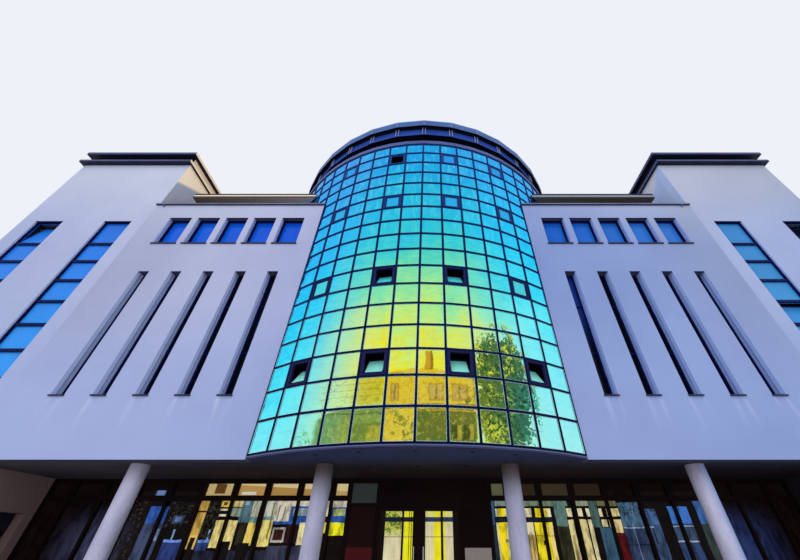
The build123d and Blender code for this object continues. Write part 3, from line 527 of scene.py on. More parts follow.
# Body-tinted glass of the towers' window strips: even, deep and glossy; its blue is part the glass's own,
# part painted sky reflection, paler towards the foot
def strip_glass():
    material, tree, shader, point = finish("tinted_glass_blue", Roughness=0.08, Specular_IOR_Level=0.1)
    x, y, z = add(tree, "ShaderNodeSeparateXYZ", {0: point}).outputs
    left = ramp(tree, z, (7, "#36a0f8"), (10.25, "#2c8cf2"), (13.5, "#1c72e0"))
    right = ramp(tree, z, (7, "#4ca6de"), (10.25, "#3f96d6"), (13.5, "#3888cc"))
    colour_with(tree, shader, lay(tree, left,
                                  (between(tree, x, -1, 1), right),
                                  (0.3, mottle(tree, point, ("#d8d8d8", "#ffffff"), 1.4), "MULTIPLY")))
    return material


# The open sashes carry a painted reflection of the whole sky: turquoise in the bow, blue in the towers'
# strips, near black with painted shade in the right tower's outer strip
def sash_glass():
    material, tree, shader, point = finish("coated_sash_glass", Roughness=0.2, Specular_IOR_Level=0.03)
    x, y, z = add(tree, "ShaderNodeSeparateXYZ", {0: point}).outputs
    off = add(tree, "ShaderNodeMath", {0: x}, operation="ABSOLUTE")
    bow = ramp(tree, z, (5.4, "#96f2dc"), (9, "#50e0e4"), (12.5, "#2cbcec"), (16.5, "#22a2ec"))
    # Painted shade: near black in the right tower's outer strip
    tower = lay(tree, "#2c86ee",
                (between(tree, x, -2, 2), "#4196dc"),
                (between(tree, x, 16.4, 16.6), "#0e1428"))
    colour_with(tree, shader, lay(tree, bow,
                                  (between(tree, off, 10, 11), tower),
                                  (0.3, mottle(tree, point, ("#d8d8d8", "#ffffff"), 0.3), "MULTIPLY")))
    return material


# Window glass of the front and rear walls: deep blue, part the glass's own and part painted sky reflection,
# and black in the slots as painted shade, but for a painted reflection of the sky in those beside the bow
def front_glass():
    material, tree, shader, point = finish("tinted_glass_deep_blue", Roughness=0.08, Specular_IOR_Level=0.1)
    x, y, z = add(tree, "ShaderNodeSeparateXYZ", {0: point}).outputs
    blue = ramp(tree, x, (-13, "#1268e8"), (-6, "#0e60e4"), (6, "#1468d0"), (12, "#3682da"))
    blue = lay(tree, blue, (0.35, mottle(tree, point, ("#c8d0e0", "#ffffff"), 0.9), "MULTIPLY"))
    off = add(tree, "ShaderNodeMath", {0: x}, operation="ABSOLUTE")
    sky = product(tree, between(tree, off, 6.9, 6.7), between(tree, z, 7.0, 9.2),
                  ramp(tree, x, (-1, "#303030"), (1, "#c8c8c8")))
    slot = lay(tree, mottle(tree, point, ("#040509", "#080a12"), 0.8), (sky, "#1c3f9c"))
    upper_or_rear = add(tree, "ShaderNodeMath", {0: between(tree, z, 11.0, 11.2), 1: between(tree, y, 0, 1)},
                        operation="MAXIMUM")
    colour_with(tree, shader, lay(tree, slot, (upper_or_rear, blue)))
    return material


# What stands in the shopfront's glass as painted reflection and view, each as left, right, foot, head and
# colour: first left of the entrance
SIGHTS = (
    (-9.19, -8.55, 0.3, 2.31, "#3f4a68"), (-9.19, -8.55, 2.31, 2.78, "#3560b4"),
    (-8.32, -7.72, 0.3, 1.82, "#2c3c74"), (-8.32, -7.74, 1.81, 1.88, "#6c96dc"),
    (-8.68, -8.58, 1.85, 2.16, "#7c90b4"), (-8.11, -8.05, 1.88, 2.15, "#8ca6d4"),
    (-8.28, -7.9, 2.3, 2.54, "#35425e"), (-8.2, -7.98, 2.35, 2.5, "#6078a4"),
    (-7.55, -7.23, 1.65, 2.96, "#cda54e"), (-7.56, -7.22, 2.61, 2.66, "#3a2a14"),
    (-7.5, -7.25, 1.65, 2.0, "#dfbd68"), (-7.19, -6.82, 0.3, 1.82, "#35447a"),
    (-7.19, -6.82, 1.81, 1.88, "#6288cc"), (-6.94, -6.88, 1.88, 2.15, "#8ca6d4"),
    (-6.8, -6.53, 1.67, 2.4, "#f2dc86"), (-6.8, -6.51, 2.77, 2.96, "#dcb854"),
    (-6.72, -6.6, 2.82, 2.91, "#5a4420"), (-6.78, -6.53, 2.66, 2.72, "#d8cca4"),
    (-6.78, -6.53, 2.5, 2.56, "#e0d8b8"), (-6.39, -6.07, 1.62, 2.4, "#f2de8a"),
    (-6.39, -6.07, 2.77, 2.96, "#e2cc80"), (-6.39, -6.07, 2.5, 2.74, "#8c9c88"),
    (-6.07, -5.7, 2.33, 2.96, "#56767e"), (-6.0, -5.85, 2.82, 2.96, "#8ca4b0"),
    (-5.98, -5.75, 1.75, 2.33, "#2a2818"), (-5.71, -5.45, 1.73, 2.33, "#e6ca62"),
    (-5.71, -5.45, 2.33, 2.5, "#78a098"), (-5.71, -5.45, 2.5, 2.96, "#c8c8aa"),
    (-5.29, -4.89, 1.7, 2.4, "#ecd87c"), (-5.29, -4.89, 2.4, 2.5, "#6c9694"),
    (-5.29, -4.89, 2.5, 2.96, "#c6cab4"), (-5.0, -4.95, 1.9, 2.9, "#8a7c38"),
    (-4.89, -3.8, 2.38, 2.96, "#d8ceb4"), (-4.89, -3.8, 2.29, 2.38, "#2f5ca8"),
    (-4.38, -3.8, 2.32, 2.78, "#2f5ca8"), (-4.28, -3.8, 2.51, 2.72, "#a2b2b2"),
    (-4.6, -4.57, 2.4, 2.78, "#4a4440"), (-4.78, -4.75, 2.4, 2.84, "#6a645c"),
    (-4.85, -4.42, 1.8, 2.2, "#b8b0a4"), (-4.79, -4.48, 1.86, 2.14, "#3a1a16"),
    (-4.4, -4.0, 1.78, 2.27, "#2c1418"), (-3.98, -3.8, 1.74, 2.33, "#f2e4a4"),
    (-3.3, -3.08, 2.05, 2.33, "#f4e040"), (-3.3, -3.08, 2.5, 2.96, "#e4dabc"),
    (-3.02, -2.5, 2.7, 2.96, "#e8dec4"), (-3.02, -2.5, 2.33, 2.76, "#2f5ca8"),
    (-2.92, -2.52, 2.51, 2.72, "#b4be76"), (-3.02, -2.5, 1.98, 2.33, "#f8f024"),
    (-4.9, -3.8, 0.3, 1.72, "#3a3c50"), (-7.2, -4.9, 0.3, 1.6, "#262838"),
    (-6.52, -6.12, 0.3, 1.84, "#140d0e"), (-5.86, -5.5, 0.3, 1.8, "#140d0e"),
    (-7.46, -7.3, 0.3, 1.94, "#1c1412"),
    # Right of the entrance
    (2.33, 2.56, 2.28, 3.1, "#38587a"), (2.33, 2.56, 0.3, 2.28, "#2c343c"),
    (2.59, 2.96, 2.8, 2.98, "#7c8e86"), (2.59, 2.96, 2.5, 2.73, "#ece0a8"),
    (2.7, 2.9, 2.5, 2.73, "#ffe814"), (2.59, 2.96, 2.36, 2.47, "#1c2238"),
    (2.59, 2.96, 0.3, 2.34, "#e8dca0"), (2.66, 2.9, 1.3, 2.34, "#fae01c"),
    (2.84, 2.94, 1.82, 1.9, "#8a8a70"), (3.45, 5.08, 2.79, 2.98, "#74836a"),
    (3.5, 3.81, 2.49, 2.73, "#ece0b0"), (3.5, 3.81, 2.0, 2.34, "#e6d8a8"),
    (3.5, 3.81, 0.3, 2.0, "#c8ae62"), (3.58, 3.62, 0.3, 2.0, "#8a6a34"),
    (3.7, 3.73, 0.3, 2.0, "#8a6a34"), (3.45, 4.48, 2.36, 2.48, "#161c30"),
    (3.93, 4.47, 2.49, 2.73, "#f0e4ac"), (3.93, 4.31, 2.49, 2.73, "#ffe61a"),
    (3.85, 4.45, 0.3, 2.34, "#fae222"), (4.32, 4.45, 0.3, 2.28, "#ecd47c"),
    (3.85, 4.45, 1.97, 1.99, "#a08c30"), (4.06, 4.22, 1.74, 1.86, "#4c4420"),
    (4.6, 4.98, 2.24, 2.98, "#5c7c72"), (4.6, 4.98, 0.3, 2.24, "#32321f"),
    (5.0, 5.18, 2.5, 2.73, "#e8dca8"), (5.0, 5.18, 0.3, 2.42, "#e0d090"),
    (5.04, 5.12, 0.3, 2.0, "#b09c60"), (5.3, 5.54, 2.5, 2.73, "#e8dcac"),
    (5.67, 5.79, 2.5, 2.73, "#e8dcac"), (5.3, 5.61, 0.3, 2.42, "#dac988"),
    (5.66, 5.79, 0.3, 2.42, "#e6d8a0"), (5.3, 5.8, 2.8, 2.98, "#8c9678"),
    (5.8, 6.08, 2.2, 2.98, "#48625c"), (6.11, 6.22, 2.5, 2.73, "#e6daa8"),
    (6.37, 6.77, 2.5, 2.73, "#e6d28c"), (6.12, 6.3, 2.22, 2.42, "#dccc98"),
    (6.37, 6.77, 2.05, 2.42, "#dec98a"), (6.1, 6.77, 2.8, 2.98, "#6c6c44"),
    (6.0, 6.47, 0.3, 2.2, "#36566a"), (6.42, 6.77, 0.3, 2.06, "#5a1216"),
    (6.79, 7.49, 0.3, 2.9, "#34425e"), (6.79, 7.49, 2.24, 2.9, "#4c6c86"),
    (6.79, 7.49, 2.18, 2.22, "#8ca2b8"), (6.79, 7.49, 1.74, 1.76, "#101624"),
    (7.12, 7.14, 0.3, 2.3, "#7c8ca4"), (7.59, 8.04, 0.3, 2.72, "#3a5070"),
    (7.59, 8.04, 2.28, 2.72, "#466694"), (7.59, 7.82, 2.2, 2.24, "#8ca0b8"),
    (7.75, 7.79, 1.76, 2.2, "#101624"), (8.46, 9.14, 0.3, 2.78, "#31446c"),
    (8.46, 9.14, 2.3, 2.78, "#4074c2"), (8.46, 9.14, 2.22, 2.25, "#98a8c0"),
    (8.46, 9.14, 1.86, 2.2, "#3c4e68"), (8.46, 9.14, 1.82, 1.86, "#a4b0c8"),
    (9.42, 10.4, 0.3, 2.95, "#38403e"), (9.42, 10.4, 2.3, 2.95, "#3c68aa"))


# The lights over the shopfront's transom, with a painted reflection of the street's lit soffits in them
def top_lights(tree, x, z):
    tops = "#100a09"
    for low_x, high_x, code in ((-7.6, -6.4, "#c6ac74"), (-6.4, -5.2, "#bb9150"), (-5.2, -3.05, "#b08848"),
                                (-3.05, -2.4, "#c2a260"), (2.35, 3.0, "#5c5d44"), (3.0, 4.05, "#2c2416"),
                                (4.05, 5.25, "#3a3022"), (5.25, 6.4, "#2c2018")):
        tops = lay(tree, tops, (within(tree, x, low_x, high_x, 0.02), code))
    timber = product(tree, within(tree, x, -7.19, -6.82, 0.02), between(tree, z, 3.14, 3.17))
    tops = lay(tree, tops, (timber, "#60401f"))
    lit_rim = total(tree, z, product(tree, x, 0.05))
    tops = lay(tree, tops,
               (product(tree, between(tree, lit_rim, 3.09, 3.11), within(tree, x, -7.6, -2.4, 0.02)),
                "#d8c690"),
               (product(tree, within(tree, x, -6.22, -5.72, 0.02), within(tree, z, 3.12, 3.21)), "#d8d4c0"),
               (product(tree, within(tree, x, -9.2, -8.9, 0.05), within(tree, z, 3.1, 3.25)), "#6a82b8"))
    return tops


# The entrance doors' glass, with the hall's far windows behind it
def door_lights(tree, point, grain):
    x, y, z = add(tree, "ShaderNodeSeparateXYZ", {0: point}).outputs
    off = add(tree, "ShaderNodeMath", {0: x}, operation="ABSOLUTE")
    door = lay(tree, "#e8deae", (within(tree, x, -0.5, -0.15, 0.01), "#f6ee24"),
               (within(tree, x, 0.49, 0.86, 0.01), "#fcee20"))
    door = lay(tree, door, (between(tree, z, 2.2, 2.6), lay(tree, door, (0.5, "#f0ea30"))),
               (within(tree, z, 1.94, 1.965, 0.004), "#a49458"))
    garden = product(tree, within(tree, x, -1.2, -0.55, 0.08), between(tree, z, 1.9, 2.15))
    door = lay(tree, door, (garden, lay(tree, "#d4d460", (between(tree, grain, 0.46, 0.56), "#5c7a24"))),
               (within(tree, z, 2.35, 2.48, 0.006),
                lay(tree, "#1a2032", (between(tree, x, -0.1, 0.1), "#2e3c5a"))))
    for low_x, high_x in ((-0.57, -0.5), (-0.33, -0.31), (-0.26, -0.24), (0.19, 0.215), (0.72, 0.8)):
        door = lay(tree, door, (within(tree, x, low_x, high_x, 0.006), "#140c0a"))
    clear = product(tree, between(tree, off, 1.125, 1.115, False), between(tree, z, 2.645, 2.635, False))
    door = lay(tree, door,
               (0.4, mottle(tree, point, ("#86868a", "#ffffff"), 0.16, (1, 1, 2.6), 5), "MULTIPLY"))
    return lay(tree, "#110a09", (clear, door))


# Shopfront glass: brown-black, with painted reflections of the lit street and a painted view of the hall's
# far windows standing in it as plain upright shapes, which glow a little as painted light for the light that
# comes through them
def lit_glass():
    material, tree, shader, point = finish("shopfront_glass_clear", Roughness=0.1, Specular_IOR_Level=0.04,
                                           Emission_Strength=0.62)
    x, y, z = add(tree, "ShaderNodeSeparateXYZ", {0: point}).outputs
    off = add(tree, "ShaderNodeMath", {0: x}, operation="ABSOLUTE")
    # The street's sky dims towards the ends and under the soffit
    sky = product(tree, between(tree, off, 12.3, 10.5), between(tree, off, 9.2, 10.4),
                  between(tree, z, 3.0, 1.7))
    base = lay(tree, "#110a09", (sky, lay(tree, "#3a3c56", (between(tree, x, -2, 2), "#28345e"))))
    grain = cloud(tree, point, 0.07, (1, 1, 1.3), 5, 0.8)
    warp = product(tree, total(tree, cloud(tree, point, 0.5, detail=6), -0.5), 0.09)
    across, above = total(tree, x, warp), total(tree, z, warp)

    def speckled(base, low_x, high_x, low_z, high_z, threshold, code):
        """base with specks of a colour strewn over a rectangle."""
        specks = product(tree, within(tree, x, low_x, high_x, 0.1), within(tree, z, low_z, high_z, 0.1),
                         between(tree, grain, threshold, threshold + 0.06))
        return lay(tree, base, (specks, code))

    base = speckled(base, -10.1, -9.3, 0.3, 3.4, 0.56, "#4a4030")
    base = speckled(base, -8.5, -7.7, 2.2, 3.4, 0.57, "#54504c")
    for low_x, high_x, low_z, high_z, code in SIGHTS:
        base = lay(tree, base, (block(tree, across, above, low_x, high_x, low_z, high_z), code))
    # The hall's depth blurs the shapes
    blur = mottle(tree, point, ("#55565e", "#b4b4b8", "#ffffff", "#ffffff"), 0.16, (1, 1, 2.6), 5)
    base = lay(tree, base, (0.75, blur, "MULTIPLY"))
    base = speckled(base, -7.2, -6.8, 1.9, 2.96, 0.5, "#35342c")
    base = speckled(base, 6.8, 8.1, 2.5, 3.0, 0.53, "#15181c")
    base = lay(tree, base,
               (between(tree, z, 3.0, 3.01, False), top_lights(tree, x, z)),
               (between(tree, off, 1.42, 1.4, False), door_lights(tree, point, grain)))
    colour_with(tree, shader, base)
    # Painted light: the glass glows in its own colours
    tree.links.new(base, shader.inputs["Emission Color"])
    return material


# Coated panels beside the entrance: grey over red-brown on the left, brown-black and beige on the right,
# lifted by a faint glow of painted light
def entrance_panel():
    material, tree, shader, point = finish("coated_panel_red_brown", Roughness=0.5, Specular_IOR_Level=0.04,
                                           Emission_Strength=0.12)
    x, y, z = add(tree, "ShaderNodeSeparateXYZ", {0: point}).outputs
    left = lay(tree, "#2a1414", (between(tree, z, 2.8, 2.82), "#4c524f"),
               (between(tree, z, 1.7, 1.66), "#5e2022"))
    right = lay(tree, "#1a0e0d", (between(tree, z, 1.68, 1.66), "#b8aca4"))
    base = lay(tree, left, (between(tree, x, -0.5, 0.5), right),
               (0.4, mottle(tree, point, ("#c8c8c8", "#ffffff"), 0.6), "MULTIPLY"))
    colour_with(tree, shader, base)
    # Painted light: the panels glow faintly in their own colours
    tree.links.new(base, shader.inputs["Emission Color"])
    return material


# Smooth painted concrete: pale, with shutter marks and small air holes
def smooth_concrete(name, codes, holes=None, roughness=0.8, painted_shade_sky_and_trickles=False):
    material, tree, shader, point = finish(name, Roughness=roughness, Specular_IOR_Level=0.2)
    colour = mottle(tree, point, codes, 0.5, (1, 1, 2.5))
    if painted_shade_sky_and_trickles:
        # The heads stand in the soffit's brown shade, deepest at the entrance
        x, y, z = add(tree, "ShaderNodeSeparateXYZ", {0: point}).outputs
        off = add(tree, "ShaderNodeMath", {0: x}, operation="ABSOLUTE")
        shade = total(tree, product(tree, between(tree, z, 2.6, 3.35), between(tree, off, 9, 3), 0.65),
                      product(tree, between(tree, z, 3.0, 3.55), 0.35))
        # The right-hand column takes the sky's blue on its outer side
        sky_side = product(tree, between(tree, x, 5, 7), between(tree, facing(tree)[0], -0.4, 0.5), 0.6)
        trickle = product(tree, between(tree, cloud(tree, point, 0.09, (1, 1, 8), 4), 0.56, 0.7), 0.3)
        colour = lay(tree, colour, (shade, "#60504a"), (sky_side, "#86a2dc"), (trickle, "#8c88a0"))
    if holes:
        # Chips and air holes of about 15 mm, drawn at 30 mm so that they show
        chips = cloud(tree, point, 0.045, (1, 1, 1), 2)
        colour = lay(tree, colour, (product(tree, between(tree, chips, 0.66, 0.74), 0.6), holes))
    colour_with(tree, shader, colour)
    relief(tree, shader, point, 0.02, 0.002, 0.3)
    return material


column_concrete = smooth_concrete("painted_concrete_lilac", ("#b6b4cc", "#d6d4ea"), "#6a6478", painted_shade_sky_and_trickles=True)
floor_concrete = smooth_concrete("trowelled_concrete", ("#5c5c66", "#70707a"))
roof_felt = smooth_concrete("bitumen_felt", ("#4a4b50", "#5a5b60"), roughness=0.9)


# The loggia's soffit: painted board, dark with painted shade, bluish under the bow from painted sky light,
# browner behind and paler to the left
def soffit_board():
    material, tree, shader, point = finish("painted_soffit_board", Roughness=0.8, Specular_IOR_Level=0.1)
    x, y, z = add(tree, "ShaderNodeSeparateXYZ", {0: point}).outputs
    colour = lay(tree, "#3f4668", (between(tree, y, -7.8, -5.6), "#3a2f34"),
                 (between(tree, x, -4.5, -10), "#5e565a"))
    colour_with(tree, shader,
                lay(tree, colour, (0.5, mottle(tree, point, ("#c0c0c0", "#ffffff"), 1.2), "MULTIPLY")))
    relief(tree, shader, point, 0.01, 0.001, 0.3)
    return material


# Painted sky reflection turns the caps and sashes bluer upwards; the beads' near white at the foot is a
# painted highlight
caps_navy = caps_coat("powder_coated_navy", (4, "#080e30"), (9, "#0a1646"), (16.5, "#10296a"))
sash_navy = caps_coat("powder_coated_violet_navy", (5, "#26224e"), (9.5, "#1a2458"), (12.5, "#1a3674"),
                      (16.5, "#1f4488"))
bead_painted_highlight = caps_coat("anodised_bead_painted_highlight_to_navy", (4, "#d4faff"), (7, "#b4ecf8"), (9.5, "#2c6cb4"),
                      (11.5, "#143c88"), (16.5, "#164290"))
render_white = floated_render()
coated_glass = mirror_glass()
shop_glass = lit_glass()

dressing = {
    render_white: ("front_wall_left", "front_wall_right", "rear_wall", "tower_fronts", "tower_rear_walls",
                   "party_walls"),
    court_render(): ("tower_inner_walls",),
    caps_navy: ("bow_frame_left", "bow_frame_centre", "bow_frame_right", "drum_frame"),
    sash_navy: ("bow_window_frames", "sashes"),
    coated_glass: ("bow_glass", "drum_glass"),
    sash_glass(): ("sash_glass",),
    base_band: ("bow_base",),
    fascia_sheet: ("drum_fascia",),
    post_sheet: ("drum_posts",),
    band_blue: ("drum_band",),
    louvre_dark_and_shaded: ("drum_louvre",),
    drum_felt: ("drum_roof",),
    cornice_sheet(): ("tower_cornices",),
    gutter_steel: ("gutter", "roof_kerb"),
    ring_sheet: ("drum_parapet",),
    attic_finish(): ("attic_walls", "attic_roof"),
    frame_navy: ("front_window_frames", "strip_frames", "rear_window_frames"),
    front_glass(): ("front_window_glass", "rear_window_glass"),
    strip_glass(): ("strip_glass",),
    sill_zinc: ("sills",),
    column_concrete: ("columns",),
    bronze_frame: ("shopfront_frames", "entrance_frame", "door_leaf_left", "door_leaf_right"),
    shop_glass: ("shopfront_glass", "door_glass_left", "door_glass_right"),
    entrance_panel(): ("entrance_panels",),
    steel: ("door_handle_left", "door_handle_right"),
    soffit_board(): ("first_floor",),
    floor_concrete: ("ground_floor", "upper_floors"),
    roof_felt: ("roof_slab",),
}
for material, names in dressing.items():
    for name in names:
        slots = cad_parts[name].data.materials
        slots.clear()
        slots.append(material)


# Pieces that repeat: a Geometry Nodes tree sets one unit on each marked place, turned about Z and scaled
def repeat(name, places, unit, material, slot, **sizes):
    marks = bpy.data.meshes.new(name + "_places")
    marks.from_pydata([place for place, turn, size in places], [], [])
    turns = marks.attributes.new("turn", "FLOAT", "POINT")
    scales = marks.attributes.new("size", "FLOAT_VECTOR", "POINT")
    for number, (place, turn, size) in enumerate(places):
        turns.data[number].value = turn
        scales.data[number].vector = size
    piece = bpy.data.objects.new(name, marks)
    bpy.context.collection.objects.link(piece)
    tree = bpy.data.node_groups.new(name, "GeometryNodeTree")
    tree.interface.new_socket("Geometry", in_out="INPUT", socket_type="NodeSocketGeometry")
    tree.interface.new_socket("Geometry", in_out="OUTPUT", socket_type="NodeSocketGeometry")
    named = {key: tree.interface.new_socket(key, in_out="INPUT", socket_type="NodeSocketFloat")
             for key in sizes}
    given = add(tree, "NodeGroupInput")
    turn = add(tree, "GeometryNodeInputNamedAttribute", {"Name": "turn"}, data_type="FLOAT")
    size = add(tree, "GeometryNodeInputNamedAttribute", {"Name": "size"}, data_type="FLOAT_VECTOR")
    spin = add(tree, "ShaderNodeCombineXYZ", {2: turn})
    set_out = add(tree, "GeometryNodeInstanceOnPoints", {"Points": given.outputs["Geometry"],
                  "Instance": unit(tree, given), "Rotation": spin, "Scale": size})
    whole = add(tree, "GeometryNodeRealizeInstances", {0: set_out})
    coated = add(tree, "GeometryNodeSetMaterial", {0: whole, "Material": material})
    add(tree, "NodeGroupOutput", {0: coated})
    modifier = piece.modifiers.new(name, "NODES")
    modifier.node_group = tree
    for key, socket in named.items():
        modifier[socket.identifier] = sizes[key]
    mesh = bpy.data.meshes.new_from_object(piece.evaluated_get(bpy.context.evaluated_depsgraph_get()))
    piece.modifiers.clear()
    piece.data = mesh
    mesh.name = name
    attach(piece, "building")
    return piece


def bar(tree, given):
    """A bar of one metre each way, to be scaled."""
    return add(tree, "GeometryNodeMeshCube", {"Size": (1, 1, 1)})


def sheet(tree, given):
    """A sheet of glass of one metre by one, its street face swelling a little in the middle."""
    flat = add(tree, "GeometryNodeMeshCube", {"Size": (1, GLASS_SHEET, 1), "Vertices X": 7, "Vertices Z": 7})
    x, y, z = add(tree, "ShaderNodeSeparateXYZ", {0: add(tree, "GeometryNodeInputPosition")}).outputs
    rounds = [total(tree, 1.0, product(tree, axis, axis, -4.0)) for axis in (x, z)]
    swell = product(tree, *rounds, given.outputs["Swell"])
    outer = add(tree, "ShaderNodeMath", {0: y, 1: 0.0}, operation="LESS_THAN")
    shift = add(tree, "ShaderNodeCombineXYZ", {1: product(tree, swell, -1.0)})
    return add(tree, "GeometryNodeSetPosition", {"Geometry": flat, "Selection": outer, "Offset": shift})


def bead(tree, given):
    """A frame of glazing bead round an opening of one metre by one."""
    width = given.outputs["Bead"]
    side = total(tree, 1.0, product(tree, width, -1.0))
    run = add(tree, "GeometryNodeCurvePrimitiveQuadrilateral", {"Width": side, "Height": side})
    profile = add(tree, "GeometryNodeCurvePrimitiveQuadrilateral",
                  {"Width": width, "Height": given.outputs["Depth"]})
    frame_bar = add(tree, "GeometryNodeCurveToMesh", {0: run, 1: profile})
    return add(tree, "GeometryNodeTransform", {"Geometry": frame_bar, "Rotation": (pi / 2, 0, 0)})


def blade(tree, given):
    """A louvre blade one metre long, sloping down outwards."""
    flat = add(tree, "GeometryNodeMeshCube", {"Size": (1, 1, 1)})
    sized = add(tree, "GeometryNodeTransform", {"Geometry": flat, "Scale": (1, 0.075, 0.008)})
    return add(tree, "GeometryNodeTransform", {"Geometry": sized, "Rotation": (radians(35), 0, 0)})


def lamp_ring(tree, given):
    """A recessed lamp: its trim ring and the dark lens inside it."""
    radius = given.outputs["Radius"]
    trim = add(tree, "GeometryNodeMeshCylinder", {"Vertices": 24, "Radius": radius, "Depth": 0.008})
    lens = add(tree, "GeometryNodeMeshCylinder", {"Vertices": 24, "Radius": product(tree, radius, 0.75),
               "Depth": 0.014})
    both = add(tree, "GeometryNodeJoinGeometry", {0: trim.outputs["Mesh"]})
    tree.links.new(lens.outputs["Mesh"], both.inputs[0])
    return both


def row_span(row):
    """Lower and upper edge of a pane row's clear opening, between its transom caps."""
    low = GLASS_BOTTOM + CAP if row == 0 else FIRST_FLOOR + row * ROW + CAP / 2
    high = FIRST_FLOOR + (row + 1) * ROW - CAP / 2
    if row == 0:
        high -= FOOT_DROP
    if row == 1:
        low -= FOOT_DROP
    if row == ROWS - 1:
        high -= CAP / 2
    return low, high


def round_drum(reach, turn, level):
    """A place at a distance from the drum's axis, turned away from the street's direction."""
    return reach * sin(turn), -reach * cos(turn), level


def on_glass(column, low, high, width, height, out):
    """A pane's place on the glass line, its turn, and its size."""
    turn = (column + 0.5) * PANE_ANGLE
    reach = BOW_RADIUS * cos(PANE_ANGLE / 2) + out
    return round_drum(reach, turn, (low + high) / 2), turn, (width, 1, height)


bow_panes = [(column, *row_span(row))
             for column in range(-BOW_HALF_PANES, BOW_HALF_PANES) for row in range(ROWS)
             if not (row in WINDOW_ROWS and column in WINDOW_LINES)]
drum_foot = WALL_TOP + CAP
drum_panes = []
for column in range(BOW_HALF_PANES, PANES_ROUND - BOW_HALF_PANES):
    if ATTIC_LINE <= column < PANES_ROUND - ATTIC_LINE:
        drum_panes.append((column, drum_foot, row_span(ROWS - 2)[1]))
    else:
        drum_panes.append((column, drum_foot, row_span(FIRST_DRUM_ROW)[1]))
        drum_panes += [(column, *row_span(row)) for row in range(FIRST_DRUM_ROW + 1, ROWS - 1)]
    drum_panes.append((column, *row_span(ROWS - 1)))

clear_width = PANE_CHORD - CAP
hidden_edge = 0.025           # of each sheet, behind the caps
bead_width, bead_depth = 0.020, 0.012
for name, panes, node in (("bow_panes", bow_panes, "bow_glass"), ("drum_panes", drum_panes, "drum_glass")):
    sheets = [on_glass(column, low, high, clear_width + 2 * hidden_edge, high - low + 2 * hidden_edge,
                       -GLASS_SHEET / 2) for column, low, high in panes]
    piece = repeat(name, sheets, sheet, coated_glass, "mirror_glass", Swell=0.004)
    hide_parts(node)
for name, panes in (("bow_glazing_beads", bow_panes), ("drum_glazing_beads", drum_panes)):
    beads = [on_glass(column, low, high, clear_width, high - low, bead_depth / 2)
             for column, low, high in panes]
    repeat(name, beads, bead, bead_painted_highlight, "curtain_cap", Bead=bead_width, Depth=bead_depth)


def bars(name, boxes, material, slot):
    """Upright bars given by their middles and sizes."""
    repeat(name, [(middle, 0.0, size) for middle, size in boxes], bar, material, slot)


# Drip edges under the lintels, and guide rails in the reveals
drip, rail = 0.035, 0.022
slot = (SLOT_WIDTH, SLOT_BOTTOM, SLOT_TOP, SLOT_GLASS - 0.04)
window = (WINDOW_WIDTH, WINDOW_BOTTOM, WINDOW_TOP, WINDOW_GLASS - 0.11)
strip = (STRIP_WIDTH, STRIP_BOTTOM, STRIP_TOP, 0.07)
openings = [(side * x, STREET, *kind) for kind in (slot, window) for side in (-1, 1) for x in SLOTS]
strip_openings = [(side * x, TOWER_FRONT, *strip) for side in (-1, 1) for x in STRIPS]
drips = [((x, y + drip / 2, high - drip / 2), (width, drip, drip))
         for x, y, width, low, high, depth in openings + strip_openings]
rails = [((x + side * (width - rail) / 2, y + depth * 0.5, (low + high - drip) / 2),
          (rail, rail, high - low - drip))
         for x, y, width, low, high, depth in openings for side in (-1, 1)]
sills = [((side * x, REAR + 0.03, level - 0.02), (WINDOW_WIDTH + 0.08, 0.06, 0.04))
         for side in (-1, 1) for x in REAR_CENTRES for level in REAR_SILLS]
bars("lintel_drips", drips, drip_navy, "window_frame")
bars("guide_rails", rails, rail_grey, "trim_metal")
bars("rear_sills", sills, sill_zinc, "trim_metal")

# Louvre blades round the drum, over the glass
facet = 2 * pi / RING_FACETS
blades = 7
blade_reach = LOUVRE_RADIUS * cos(facet / 2) + 0.035
blade_length = 2 * LOUVRE_RADIUS * sin(facet / 2) - 0.03
repeat("louvre_blades", [(round_drum(blade_reach, (number + 0.5) * facet,
                                     PARAPET_TOP + LOUVRE_HEIGHT * (step + 0.5) / blades),
                          (number + 0.5) * facet, (blade_length, 1, 1))
                         for number in range(RING_FACETS) for step in range(blades)],
       blade, louvre_dark_and_shaded, "crown_dark")

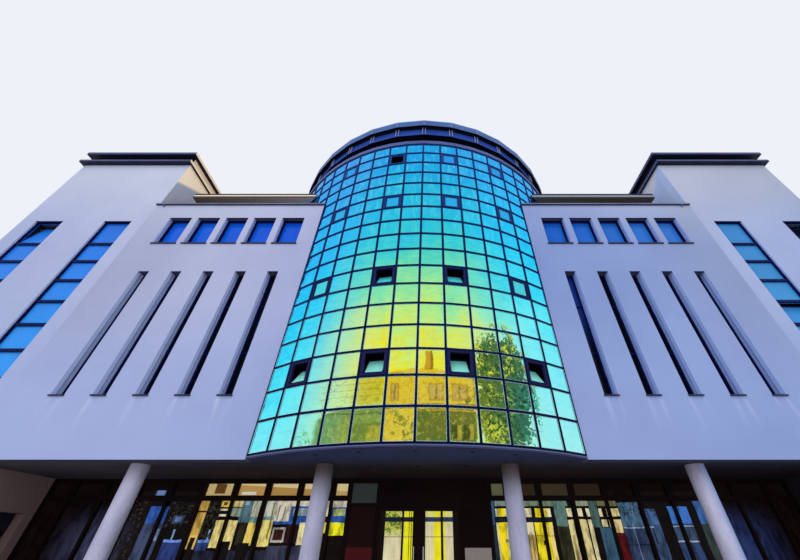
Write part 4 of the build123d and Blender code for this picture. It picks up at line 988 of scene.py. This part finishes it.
# Cover strips over the joints of the fascia
joint_size = (0.035, 0.008, FASCIA_TOP - CROWN - 0.01)
joint_reach = FASCIA_RADIUS - joint_size[1] / 2
repeat("fascia_joints", [(round_drum(joint_reach, number * facet, (CROWN + FASCIA_TOP) / 2), number * facet,
                          joint_size) for number in range(RING_FACETS)], bar, post_sheet, "trim_metal")

# Recessed lamps in the loggia's soffit
lamp_places = [(0.0, -8.18), (0.0, -6.12)]
lamp_places += [(side * x, y) for side in (-1, 1)
                for x, y in ((1.48, -8.08), (2.66, -7.75), (4.38, -6.83), (5.62, -5.85), (1.46, -6.12))]
repeat("soffit_lamps", [((x, y, SOFFIT - 0.004), 0.0, (1, 1, 1)) for x, y in lamp_places],
       lamp_ring, lamp_black, "handle_steel", Radius=0.055)

# Floor, light and camera
floor_mesh = bpy.data.meshes.new("studio_floor")
reach = 120
floor_mesh.from_pydata([(-reach, -reach, 0), (reach, -reach, 0), (reach, reach, 0), (-reach, reach, 0)], [],
                       [(0, 1, 2, 3)])
floor = bpy.data.objects.new("studio_floor", floor_mesh)
bpy.context.collection.objects.link(floor)
floor_pale, floor_tree, floor_shader, floor_point = finish("studio_floor_pale", Roughness=0.9)
colour_with(floor_tree, floor_shader, mottle(floor_tree, floor_point, ("#d9dce4", "#dfe2ea"), 9))
floor_mesh.materials.append(floor_pale)

world = bpy.data.worlds.new("studio")
bpy.context.scene.world = world
world.use_nodes = True
background = world.node_tree.nodes["Background"]
background.inputs["Color"].default_value = linear("#eef1f8")
background.inputs["Strength"].default_value = 1.0

lamp = bpy.data.lights.new("soft_key", "SUN")
lamp.energy = 0.6
lamp.angle = radians(60)
key = bpy.data.objects.new("soft_key", lamp)
key.rotation_euler = (radians(50), 0, radians(-25))
key.visible_glossy = False
bpy.context.collection.objects.link(key)

lens = bpy.data.cameras.new("street_view")
lens.sensor_width = 36
lens.lens = 15.147
lens.shift_x = -0.04
lens.clip_end = 500
camera = bpy.data.objects.new("street_view", lens)
camera.location = (0.433, -17.652, 1.6)
camera.rotation_euler = (radians(128.81), 0, 0)
bpy.context.collection.objects.link(camera)
bpy.context.scene.camera = camera
bpy.context.scene.view_settings.view_transform = "Standard"
